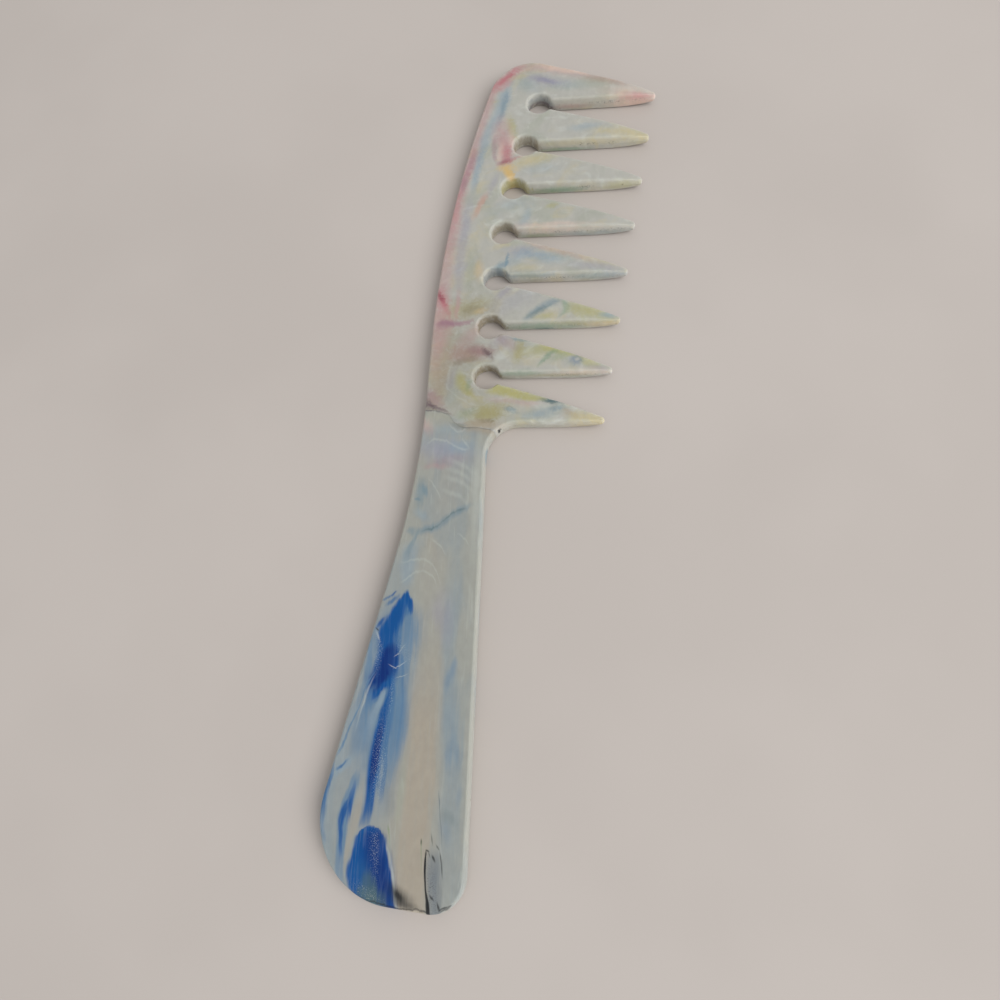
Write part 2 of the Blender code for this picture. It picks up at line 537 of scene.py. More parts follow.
def pick(mesh: bpy.types.Mesh, element: Element, wanted: Callable[..., bool]) -> None:
    """Selects the wanted elements of a mesh in edit mode, and nothing else.

    Args:
        mesh: The mesh that is being edited.
        element: Whether points or edges are selected.
        wanted: Says of each element whether it is selected.
    """
    bpy.ops.mesh.select_mode(type=element.value)
    bpy.ops.mesh.select_all(action="DESELECT")
    net = bmesh.from_edit_mesh(mesh)
    for item in net.verts if element is Element.POINTS else net.edges:
        item.select_set(wanted(item))
    bmesh.update_edit_mesh(mesh)


@dataclass
class MarbledComb:
    """The comb's two fused charges of plastic, each moulded as a slab with rounded rims.

    The walls bulge towards the parting line, where the mould left a fine flash. Wall levels are
    heights above that line, and tip cuts and rims are shares of the length over which a tip tapers.
    """

    plan: CombPlan
    shift: Vector
    thickness: float = 4.0
    tip_thickness: float = 1.8
    bulge: float = 0.3
    wall_levels: tuple[float, ...] = (1.55, 1.0, 0.45, 0.06)
    flash: float = 0.02
    rim: float = 0.42
    rim_segments: int = 3
    weld_rim: float = 0.008
    tip_rims: tuple[float, ...] = (0.6, 0.52, 0.45, 0.39, 0.33, 0.28, 0.23, 0.19, 0.15, 0.11, 0.08, 0.05)
    tip_rim_cut: float = 0.084
    tip_cuts: tuple[float, ...] = (1.0, 0.85, 0.7, 0.56, 0.43, 0.31, 0.21, 0.13, 0.07)
    thinning_steps: int = 100
    wall_rise: float = 0.5
    weld_reach: float = 0.01
    crease: float = math.radians(60)

    @property
    def middle(self) -> float:
        """Height of the parting line."""
        return self.thickness / 2

    @property
    def weld_ends(self) -> list[tuple[Vector, Vector]]:
        """Both ends of the weld line.

        Returns:
            Each end's place in plan, with the direction out of the wall there.
        """
        neck = self.plan.neck(self.plan.weld_on_neck, self.plan.weld_on_neck)
        crotch = self.plan.crotch(self.plan.weld_on_crotch, self.plan.weld_on_crotch)
        return [(arc.first, -heading(arc.start)) for arc in (neck, crotch)]

    def plan_place(self, point: Vector) -> Vector:
        """Plan millimetres of a place in the world."""
        return Vector(((point.x - self.shift.x) / MM, (point.y - self.shift.y) / MM))

    def tip_share(self, point: Vector) -> float:
        """How far a point is behind the teeth's leaning tip line.

        Args:
            point: The point, in the world.

        Returns:
            The distance as a share of the taper, from 0 on the line to 1.
        """
        plan, place = self.plan, self.plan_place(point)
        reach = plan.shortest_reach + (place.y - plan.handle_length) * math.tan(plan.tip_lean)
        return min(max((reach - place.x) / plan.tip_taper, 0), 1)

    def beside(self, point: Vector, places: Iterable[Vector]) -> bool:
        """Whether a point stands over one of some places in plan."""
        return min((self.plan_place(point) - place).length for place in places) < self.weld_reach

    def slab(self, name: str, outline: Outline) -> bpy.types.Object:
        """Raises a closed slab from an outline, with level loops round its walls.

        Args:
            name: Name of the piece.
            outline: Outline of the slab in plan, from an arc's first point.

        Returns:
            The slab, still in edit mode.
        """
        plan = self.plan
        piece = PlanPen(name, outline[0].first, self.shift).draw(outline)
        out_of_tips = (math.cos(plan.tip_lean), -math.sin(plan.tip_lean), 0)
        for share in self.tip_cuts:
            back = Vector((plan.shortest_reach - share * plan.tip_taper, plan.handle_length, 0))
            bpy.ops.mesh.select_all(action="SELECT")
            bpy.ops.mesh.bisect(plane_co=back * MM + self.shift, plane_no=out_of_tips)
        bpy.ops.mesh.select_all(action="SELECT")
        far_levels = [-level for level in reversed(self.wall_levels)]
        height = self.middle
        for level in (*self.wall_levels, 0, *far_levels, -self.middle):
            rise = (height - level) * MM
            bpy.ops.mesh.extrude_region_move(TRANSFORM_OT_translate={"value": (0, 0, rise)})
            height = level
        bpy.ops.mesh.select_all(action="SELECT")
        bpy.ops.mesh.normals_make_consistent(inside=False)
        return piece

    def push_out(self, piece: bpy.types.Object, level: float, push: float) -> None:
        """Pushes the walls out evenly near the parting line, but not along the weld.

        Args:
            piece: The slab, in edit mode, with upright walls as far as they are pushed.
            level: How far above and below the parting line the last pushed loops lie.
            push: How far they are pushed.
        """
        ends = self.weld_ends
        weld = self.plan.weld_points + [end for end, _ in ends]

        def in_band(point: Vector) -> bool:
            """Whether a point is within the level."""
            return abs(point.z / MM - self.middle) < level + HAIR

        pick(piece.data, Element.POINTS, lambda v: in_band(v.co) and not self.beside(v.co, weld))
        bpy.ops.transform.shrink_fatten(value=push * MM, use_even_offset=True)
        for end, outward in ends:
            pick(piece.data, Element.POINTS, lambda v: in_band(v.co) and self.beside(v.co, [end]))
            bpy.ops.transform.translate(value=(*(outward * push * MM), 0))

    def mark_rims(self, piece: bpy.types.Object) -> None:
        """Gives the rims of both faces their bevel weights, small along the weld and nothing at the tips.

        Args:
            piece: The slab, in edit mode.
        """
        weld = self.plan.weld_points + [end for end, _ in self.weld_ends]

        def is_rim(edge: bmesh.types.BMEdge, welded: bool) -> bool:
            """Whether an edge is a rim.

            Args:
                edge: The edge.
                welded: Whether a rim along the weld is asked for, or one off it.

            Returns:
                Whether it is the rim that is asked for.
            """
            level = all(abs(v.co.z / MM - self.middle) > self.middle - HAIR for v in edge.verts)
            walled = any(abs(face.normal.z) < self.wall_rise for face in edge.link_faces)
            return level and walled and all(self.beside(v.co, weld) for v in edge.verts) is welded

        for welded, weight in ((False, 1.0), (True, self.weld_rim)):
            pick(piece.data, Element.EDGES, lambda edge: is_rim(edge, welded))
            bpy.ops.transform.edge_bevelweight(value=weight)
        for reach in self.tip_rims:
            pick(
                piece.data,
                Element.EDGES,
                lambda edge: is_rim(edge, False) and max(self.tip_share(v.co) for v in edge.verts) < reach,
            )
            bpy.ops.transform.edge_bevelweight(value=-self.tip_rim_cut)

    def thin_tips(self, piece: bpy.types.Object) -> None:
        """Thins the teeth about their middle, in an easy curve towards the tips.

        Args:
            piece: The slab, in edit mode.
        """
        steps = self.thinning_steps
        net = bmesh.from_edit_mesh(piece.data)
        groups = sorted({round(self.tip_share(v.co) * steps) for v in net.verts})
        for group in groups:
            loss = (1 - self.tip_thickness / self.thickness) * (1 - group / steps) ** 2
            if loss > 0:
                pick(piece.data, Element.POINTS, lambda v: round(self.tip_share(v.co) * steps) == group)
                bpy.ops.transform.resize(
                    value=(1, 1, 1 - loss), orient_type="GLOBAL", center_override=(0, 0, self.middle * MM)
                )

    def round_rims(self, piece: bpy.types.Object) -> None:
        """Rounds the marked rims.

        Args:
            piece: The slab, in edit mode before and after.
        """
        bpy.ops.mesh.select_all(action="DESELECT")
        bpy.ops.object.mode_set(mode="OBJECT")
        bevel = piece.modifiers.new("rims", "BEVEL")
        bevel.limit_method = "WEIGHT"
        bevel.width = self.rim * MM
        bevel.segments = self.rim_segments
        bevel.use_clamp_overlap = False
        bpy.ops.object.modifier_apply(modifier="rims")
        bpy.ops.object.mode_set(mode="EDIT")

    def smooth(self, piece: bpy.types.Object) -> None:
        """Smooths the shading, and leaves edit mode.

        Args:
            piece: The slab, in edit mode.
        """
        bpy.ops.mesh.select_all(action="DESELECT")
        bpy.ops.object.mode_set(mode="OBJECT")
        bpy.ops.object.shade_smooth_by_angle(angle=self.crease)
        weights = piece.modifiers.new("flats", "WEIGHTED_NORMAL")
        weights.mode = "FACE_AREA_WITH_ANGLE"
        weights.keep_sharp = True
        bpy.ops.object.modifier_apply(modifier="flats")

    def mould(self, name: str, outline: Outline) -> bpy.types.Object:
        """Moulds one charge of the comb.

        Args:
            name: Name of the piece.
            outline: Outline of the charge in plan.

        Returns:
            The finished piece, without its plastic.
        """
        piece = self.slab(name, outline)
        self.mark_rims(piece)
        pushed = 0.0
        for level in self.wall_levels:
            push = self.bulge * (1 - (level / self.middle) ** 2)
            self.push_out(piece, level, push - pushed)
            pushed = push
        self.push_out(piece, 0, self.bulge + self.flash - pushed)
        self.round_rims(piece)
        self.thin_tips(piece)
        self.smooth(piece)
        return piece

    def toothed_head(self) -> bpy.types.Object:
        """Moulds the spine, the eight teeth and their root holes."""
        return self.mould("marbled_head", self.plan.head_outline())

    def handle(self) -> bpy.types.Object:
        """Moulds the neck and the flared handle."""
        return self.mould("marbled_handle", self.plan.handle_outline())


def linear(byte: int) -> float:
    """Linear light of a screen byte."""
    share = byte / 255
    return share / 12.92 if share <= 0.04045 else ((share + 0.055) / 1.055) ** 2.4


class Tint(Enum):
    """Colours of the recycled plastic, in screen bytes."""

    CELADON = (174, 173, 166)
    SAGE = (156, 160, 146)
    MOSS = (132, 146, 118)
    OLIVE = (156, 150, 106)
    UMBER = (124, 112, 90)
    SAND = (160, 147, 128)
    LEMON = (168, 164, 110)
    STRAW = (188, 176, 134)
    MUSTARD = (206, 172, 104)
    PEACH = (208, 184, 170)
    BLUSH = (184, 150, 136)
    ROSE = (178, 142, 142)
    RASPBERRY = (176, 108, 116)
    CRIMSON = (138, 62, 78)
    MAUVE = (150, 116, 128)
    PLUM = (98, 80, 88)
    LILAC = (150, 149, 162)
    VIOLET = (134, 132, 156)
    CHALK = (194, 198, 192)
    MILK = (157, 158, 151)
    FROST = (137, 149, 155)
    SKY = (138, 156, 168)
    STEEL = (104, 132, 146)
    TEAL = (78, 104, 108)
    FERN = (112, 144, 122)
    WASH = (96, 128, 156)
    AZURE = (40, 98, 148)
    COBALT = (6, 80, 144)
    NAVY = (0, 44, 114)
    CREAM = (165, 157, 144)
    SLATE = (122, 128, 132)
    INK = (34, 36, 38)

    @property
    def colour(self) -> tuple[float, float, float, float]:
        """The tint in linear light, with full alpha."""
        red, green, blue = (linear(byte) for byte in self.value)
        return red, green, blue, 1.0


class Along(Enum):
    """Way that a strand of colour runs."""

    COMB = "y"
    TEETH = "x"


class Wire:
    """An output socket whose sums, differences, products and ratios add Math nodes."""

    def __init__(self, bench: "Bench", socket: bpy.types.NodeSocket) -> None:
        """Wraps a socket of a bench's material."""
        self.bench = bench
        self.socket = socket

    def __add__(self, other: "Wire | float") -> "Wire":
        """Sum of the two values."""
        return self.bench.math("ADD", self, other)

    def __radd__(self, other: float) -> "Wire":
        """Sum, with the number first."""
        return self.bench.math("ADD", other, self)

    def __sub__(self, other: "Wire | float") -> "Wire":
        """Difference of the two values."""
        return self.bench.math("SUBTRACT", self, other)

    def __rsub__(self, other: float) -> "Wire":
        """Difference, with the number first."""
        return self.bench.math("SUBTRACT", other, self)

    def __mul__(self, other: "Wire | float") -> "Wire":
        """Product of the two values."""
        return self.bench.math("MULTIPLY", self, other)

    def __rmul__(self, other: float) -> "Wire":
        """Product, with the number first."""
        return self.bench.math("MULTIPLY", other, self)

    def __truediv__(self, other: "Wire | float") -> "Wire":
        """Ratio of the two values."""
        return self.bench.math("DIVIDE", self, other)

    def __abs__(self) -> "Wire":
        """Size of the value, without its sign."""
        return self.bench.math("ABSOLUTE", self)


class Bench:
    """A node tree, filled one node at a time."""

    NOISE_MIDDLE = 0.5

    def __init__(self, tree: bpy.types.NodeTree) -> None:
        """Takes a tree and empties it."""
        self.tree = tree
        tree.nodes.clear()

    def add(self, kind: str, settings: dict | None = None, sockets: dict | None = None) -> bpy.types.Node:
        """Adds a node.

        Args:
            kind: The node's type.
            settings: The node's settings, which are set first; "stops" are a ramp's places and colours.
            sockets: Values and wires for its input sockets, by name or number.

        Returns:
            The new node.
        """
        node = self.tree.nodes.new(kind)
        for name, value in (settings or {}).items():
            if name == "stops":
                self.set_stops(node.color_ramp, value)
            else:
                setattr(node, name, value)
        for name, value in (sockets or {}).items():
            if isinstance(value, Wire):
                self.tree.links.new(value.socket, node.inputs[name])
            else:
                node.inputs[name].default_value = value
        return node

    @staticmethod
    def set_stops(ramp: bpy.types.ColorRamp, stops: list[tuple[float, tuple[float, ...]]]) -> None:
        """Gives a ramp its stops, on a smooth curve through them.

        Args:
            ramp: The ramp, with the two stops of a new one.
            stops: Place and colour of each stop, in order.
        """
        ramp.interpolation = "CARDINAL"
        while len(ramp.elements) < len(stops):
            ramp.elements.new(1)
        for element, (place, colour) in zip(ramp.elements, stops):
            element.position = place
            element.color = colour

    def wire(self, kind: str, settings: dict, sockets: dict, output: int | str = 0) -> Wire:
        """Adds a node and wraps one of its outputs, by number or name."""
        return Wire(self, self.add(kind, settings, sockets).outputs[output])

    def parts(self, kind: str, whole: Wire) -> list[Wire]:
        """Splits a vector or a colour into its three numbers."""
        return [Wire(self, output) for output in self.add(kind, {}, {0: whole}).outputs]

    def math(self, operation: str, *values: "Wire | float") -> Wire:
        """Adds a Math node."""
        return self.wire("ShaderNodeMath", {"operation": operation}, dict(enumerate(values)))

    def centred(self, noise: Wire) -> Wire:
        """Moves a noise's colour so that it lies about nothing."""
        return self.vector("SUBTRACT", noise, (self.NOISE_MIDDLE,) * 3)

    def vector(self, operation: str, *values: "Wire | tuple", output: int = 0) -> Wire:
        """Adds a Vector Math node."""
        return self.wire("ShaderNodeVectorMath", {"operation": operation}, dict(enumerate(values)), output)

    def scale(self, colour: Wire, factor: Wire) -> Wire:
        """Makes a colour lighter or darker by a factor."""
        sockets = {"Vector": colour, "Scale": factor}
        return self.wire("ShaderNodeVectorMath", {"operation": "SCALE"}, sockets)

    def mix(self, share: Wire, under: "Wire | tuple", over: "Wire | tuple") -> Wire:
        """Lays one colour over another by a share."""
        return self.wire("ShaderNodeMix", {"data_type": "RGBA"}, {0: share, 6: under, 7: over}, 2)

    def ease(self, value: Wire, cut: Place, start: "Wire | float" = 0.0, end: "Wire | float" = 1.0) -> Wire:
        """Eases from a start to an end while a value crosses a cut.

        Args:
            value: The value that leads.
            cut: Where it leaves the start, and where it reaches the end.
            start: What comes out below the cut.
            end: What comes out above it.

        Returns:
            The eased value.
        """
        settings = {"interpolation_type": "SMOOTHSTEP", "clamp": False}
        sockets = {"Value": value, "From Min": cut[0], "From Max": cut[1], "To Min": start, "To Max": end}
        return self.wire("ShaderNodeMapRange", settings, sockets)

    def noise(self, place: Wire, grain: Triple, detail: float, twist: float = 0, output: int = 0) -> Wire:
        """Noise of a given grain.

        Args:
            place: Where the noise is read, in millimetres.
            grain: Waves a millimetre, along each axis.
            detail: Octaves.
            twist: Distortion.
            output: 0 for a value, 1 for a colour.

        Returns:
            Noise about a half.
        """
        scaled = self.vector("MULTIPLY", place, grain)
        sockets = {"Vector": scaled, "Scale": 1.0, "Detail": detail, "Distortion": twist}
        return self.wire("ShaderNodeTexNoise", {"noise_dimensions": "3D"}, sockets, output)


class Layer(Bench):
    """A group of nodes that lays one colour over those under it."""

    SOCKETS = {
        "Under": "Color",
        "Place": "Vector",
        "Flow": "Vector",
        "Fibre": "Float",
        "Specks": "Float",
        "Cover": "Float",
    }

    def __init__(self, name: str) -> None:
        """Starts the group, with the wires that its mark may read.

        Args:
            name: Name of the group.
        """
        super().__init__(bpy.data.node_groups.new(name, "ShaderNodeTree"))
        for socket, kind in self.SOCKETS.items():
            self.tree.interface.new_socket(socket, in_out="INPUT", socket_type=f"NodeSocket{kind}")
        self.tree.interface.new_socket("Over", in_out="OUTPUT", socket_type="NodeSocketColor")
        entry = self.add("NodeGroupInput")
        wires = (Wire(self, entry.outputs[socket]) for socket in self.SOCKETS)
        self.under, self.place, self.flow, self.fibre, self.specks, self.cover = wires

    def close(self, share: Wire, tint: Tint) -> bpy.types.NodeTree:
        """Lays a tint unevenly over the colours by a share, and ends the group."""
        self.add("NodeGroupOutput", {}, {"Over": self.mix(share * self.cover, self.under, tint.colour)})
        return self.tree


@dataclass(frozen=True)
class Cloud:
    """A broad drift of colour that comes and goes with noise, where it crosses a cut."""

    tint: Tint
    grain: Triple
    cut: Place
    strength: float
    offset: float = 0.0
    twist: float = 0.0

    def share(self, layer: Layer) -> Wire:
        """How much of the drift shows at a place.

        Args:
            layer: The layer that the drift is laid on.

        Returns:
            The share, up to the drift's strength.
        """
        place = layer.vector("ADD", layer.place, (self.offset,) * 3)
        drift = layer.noise(place, self.grain, detail=4, twist=self.twist)
        return layer.ease(drift, self.cut, end=self.strength)


@dataclass(frozen=True)
class Strand:
    """A strand of colour along its stations, with a feathered and frayed edge."""

    tint: Tint
    stations: tuple[Station, ...]
    feather: float = 0.6
    grain: float = 1.0
    along: Along = Along.COMB

    def share(self, layer: Layer) -> Wire:
        """How much of the strand shows at a place.

        A ramp along the strand holds its stations: middle line, half width and strength.

        Args:
            layer: The layer that the strand is laid on.

        Returns:
            The share, up to the strand's strength there.
        """
        stations = sorted(self.stations)
        first, length = stations[0][0], stations[-1][0] - stations[0][0]
        edge = min(across - half for _, across, half, _ in stations)
        width = max(across + half for _, across, half, _ in stations) - edge
        stops = [
            ((along - first) / length, ((across - edge) / width, half / width, strength, 1.0))
            for along, across, half, strength in stations
        ]
        x, y, _ = layer.parts("ShaderNodeSeparateXYZ", layer.flow)
        along, across = (y, x) if self.along is Along.COMB else (x, y)
        ramp = layer.wire("ShaderNodeValToRGB", {"stops": stops}, {0: (along - first) / length})
        middle, half, strength = layer.parts("ShaderNodeSeparateColor", ramp)
        ratio = abs(((across - edge) / width - middle) / half) + layer.fibre * self.grain
        return layer.ease(ratio, (1 - self.feather, 1 + self.feather), strength, 0.0)


@dataclass(frozen=True)
class Dab:
    """A soft oval of colour between two places, with a width across them.

    Depth is its middle height and half its height, so a shallow one shows only on the walls.
    """

    tint: Tint
    start: Place
    end: Place
    width: float
    strength: float = 0.8
    feather: float = 0.7
    grain: float = 1.0
    speckled: bool = False
    depth: Place = (0.0, 1e4)

    def share(self, layer: Layer) -> Wire:
        """How much of the dab shows at a place.

        Args:
            layer: The layer that the dab is laid on.

        Returns:
            The share, up to the dab's strength.
        """
        start, end = Vector(self.start), Vector(self.end)
        middle = (start + end) / 2
        height, half_height = self.depth
        run = heading(angle_of(end - start))
        long, wide = run * 2 / ((end - start).length + self.width), left_of(run) * 2 / self.width
        off = layer.vector("SUBTRACT", layer.flow, (*middle, height))
        axes = enumerate(((*long, 0), (*wide, 0), (0, 0, 1 / half_height)))
        sides = {number: layer.vector("DOT_PRODUCT", off, axis, output=1) for number, axis in axes}
        oval = layer.wire("ShaderNodeCombineXYZ", {}, sides)
        ratio = layer.vector("LENGTH", oval, output=1) + layer.fibre * self.grain
        share = layer.ease(ratio, (1 - self.feather, 1 + self.feather), self.strength, 0.0)
        return share * layer.specks if self.speckled else share


def strand(
    tint: Tint, *stations: Station, feather: float = 0.6, grain: float = 1.0, along: Along = Along.COMB
) -> Strand:
    """A strand of colour through its stations."""
    return Strand(tint, stations, feather, grain, along)


def flow_line(
    *points: Place, along: Along = Along.TEETH, strength: float = 0.22, half: float = 0.22
) -> Strand:
    """A fine pale line that fades in and out at its ends.

    Args:
        points: Places that the line goes through.
        along: Way that it runs.
        strength: How strongly it shows between its ends.
        half: Half its width.

    Returns:
        The line as a strand.
    """
    last = len(points) - 1
    stations = []
    for number, (x, y) in enumerate(points):
        shown = 0.0 if number in (0, last) else strength
        stations.append((x, y, half, shown) if along is Along.TEETH else (y, x, half, shown))
    return strand(Tint.CHALK, *stations, feather=0.95, grain=0.7, along=along)


def on_wall(
    tint: Tint, tooth: int, start: float, end: float, strength: float, depth: Place, speckled: bool = False
) -> Dab:
    """A stretch of colour on a tooth's lower wall alone."""
    side = CombPlan().side_y(tooth)
    return Dab(tint, (start, side), (end, side), 2.0, strength, speckled=speckled, depth=depth)


def scuff(start: Place, end: Place, width: float, strength: float = 0.4) -> Dab:
    """A rub that has left pale specks."""
    return Dab(Tint.CHALK, start, end, width, strength, feather=0.8, grain=1.5, speckled=True)


def scratch(start: Place, end: Place, strength: float = 0.7) -> Dab:
    """A fine pale scratch."""
    return Dab(Tint.CHALK, start, end, width=0.18, strength=strength, feather=0.6, grain=0.4)


def soot(start: Place, end: Place, width: float, strength: float = 0.8) -> Dab:
    """A black fleck."""
    return Dab(Tint.INK, start, end, width, strength)


@dataclass(frozen=True)
class Skin:
    """Surface of the plastic over its marbling: grime, wear, sheen, relief, light that sinks in and painted
    light.

    A cut is where a noise starts to count and where it counts in full. The walls are painted a
    little lighter, as painted light for the light that sinks in and comes out there, and the sloping
    rims get a painted highlight.
    """

    grime: Tint = Tint.UMBER
    grime_height: float = 2.25
    grime_reach: Place = (0.06, 0.4)
    grime_grain: Triple = (1.5, 1.5, 0.5)
    grime_cut: Place = (0.56, 0.74)
    grime_strength: float = 0.6
    wear_grain: Triple = (0.9, 0.5, 0.9)
    wear_tone: float = 0.2
    grit_grain: Triple = (6, 6, 6)
    # Painted light: the walls are painted lighter, and the sloping rims get a painted highlight.
    wall_cut: Place = (0.1, 0.9)
    wall_painted_light: float = 1.3
    rim_slope: float = 0.75
    rim_cut: Place = (0.1, 0.25)
    rim_painted_highlight: float = 0.06
    sheen_grit: float = 0.3
    sheen_cut: Place = (0.4, 0.85)
    sheen: Place = (0.36, 0.52)
    glint: float = 0.2
    fibre_relief: float = 0.5
    wear_relief: float = 0.6
    grit_relief: float = 0.25
    relief_strength: float = 0.25
    relief_height: float = 0.08
    depth: float = 0.8
    depth_tint: Triple = (1.0, 0.95, 0.85)
    depth_reach: float = 1.4

    def cover(self, bench: Bench, place: Wire, fibre: Wire, colour: Wire) -> None:
        """Adds the surface and the shader.

        Args:
            bench: Nodes of the material.
            place: Where a point is, in plan millimetres.
            fibre: Noise of the flow lines.
            colour: The marbled colour.
        """
        _, _, height = bench.parts("ShaderNodeSeparateXYZ", place)
        grit = bench.noise(place, self.grit_grain, detail=2)
        wear = bench.noise(place, self.wear_grain, detail=5)
        smear = bench.noise(place, self.grime_grain, detail=4)
        grime = bench.ease(smear, self.grime_cut, end=self.grime_strength)
        parting = bench.ease(abs(height - self.grime_height), self.grime_reach, grime, 0.0)
        normal = bench.wire("ShaderNodeNewGeometry", {}, {}, "Normal")
        facing = abs(bench.parts("ShaderNodeSeparateXYZ", normal)[2])
        relief = fibre * self.fibre_relief + wear * self.wear_relief + grit * self.grit_relief
        # Painted light: walls are painted lighter than the flat faces, and sloping rims get a painted
        # highlight.
        lift = bench.ease(facing, self.wall_cut, self.wall_painted_light, 1.0)
        lift = lift + bench.ease(abs(facing - self.rim_slope), self.rim_cut, self.rim_painted_highlight, 0.0)
        tone = (wear * self.wear_tone + (1 - self.wear_tone / 2)) * lift
        bump = {"Strength": self.relief_strength, "Distance": self.relief_height * MM, "Height": relief}
        surface = {
            "Base Color": bench.mix(parting, bench.scale(colour, tone), self.grime.colour),
            "Specular IOR Level": self.glint,
            "Roughness": bench.ease(wear + grit * self.sheen_grit, self.sheen_cut, *self.sheen),
            "Normal": bench.wire("ShaderNodeBump", {}, bump),
            "Subsurface Weight": self.depth,
            "Subsurface Radius": self.depth_tint,
            "Subsurface Scale": self.depth_reach * MM,
        }
        shader = bench.wire("ShaderNodeBsdfPrincipled", {}, surface)
        bench.add("ShaderNodeOutputMaterial", {}, {"Surface": shader})


@dataclass(frozen=True)
class Marbling:
    """Finish of one charge of plastic: its base and the layers over it, in the order they are laid.

    Fibres are the fine lines of the flow. They fray the marks' edges, and where they are thin the
    colour over them is thinner. The whole pattern sways a little.
    """

    name: str
    base: Tint
    layers: tuple[Cloud | Strand | Dab, ...]
    fibre: Triple
    fibre_twist: float
    sway: Triple
    sway_grain: Triple
    fray: Triple
    speck_grain: Triple = (6, 5, 6)
    speck_cut: Place = (0.53, 0.66)
    thin_cut: Place = (0.3, 0.55)
    thin_cover: float = 0.75
    skin: Skin = Skin()

    def material(self, shift: Vector) -> bpy.types.Material:
        """Mixes the plastic.

        Args:
            shift: World place of the plan's origin, in metres.

        Returns:
            The material of the charge.
        """
        material = bpy.data.materials.new(self.name)
        material.use_nodes = True
        bench = Bench(material.node_tree)
        here = bench.wire("ShaderNodeTexCoord", {}, {}, "Object")
        place = bench.vector("MULTIPLY_ADD", here, (1 / MM,) * 3, tuple(-shift / MM))
        drift = bench.centred(bench.noise(place, self.sway_grain, detail=2, output=1))
        swayed = bench.vector("MULTIPLY_ADD", drift, self.sway, place)
        fibres = bench.noise(swayed, self.fibre, detail=4, twist=self.fibre_twist, output=1)
        fibre, _, thickness = bench.parts("ShaderNodeSeparateColor", fibres)
        fibre = fibre - Bench.NOISE_MIDDLE
        sockets = {
            "Under": self.base.colour,
            "Place": place,
            "Flow": bench.vector("MULTIPLY_ADD", bench.centred(fibres), self.fray, swayed),
            "Fibre": fibre,
            "Specks": bench.ease(bench.noise(place, self.speck_grain, detail=2), self.speck_cut),
            "Cover": bench.ease(thickness, self.thin_cut, self.thin_cover, 1.0),
        }
        for number, mark in enumerate(self.layers):
            layer = Layer(f"{self.name} {number} {mark.tint.name.lower()}")
            group = layer.close(mark.share(layer), mark.tint)
            sockets["Under"] = bench.wire("ShaderNodeGroup", {"node_tree": group}, sockets)
        self.skin.cover(bench, place, fibre, sockets["Under"])
        return material


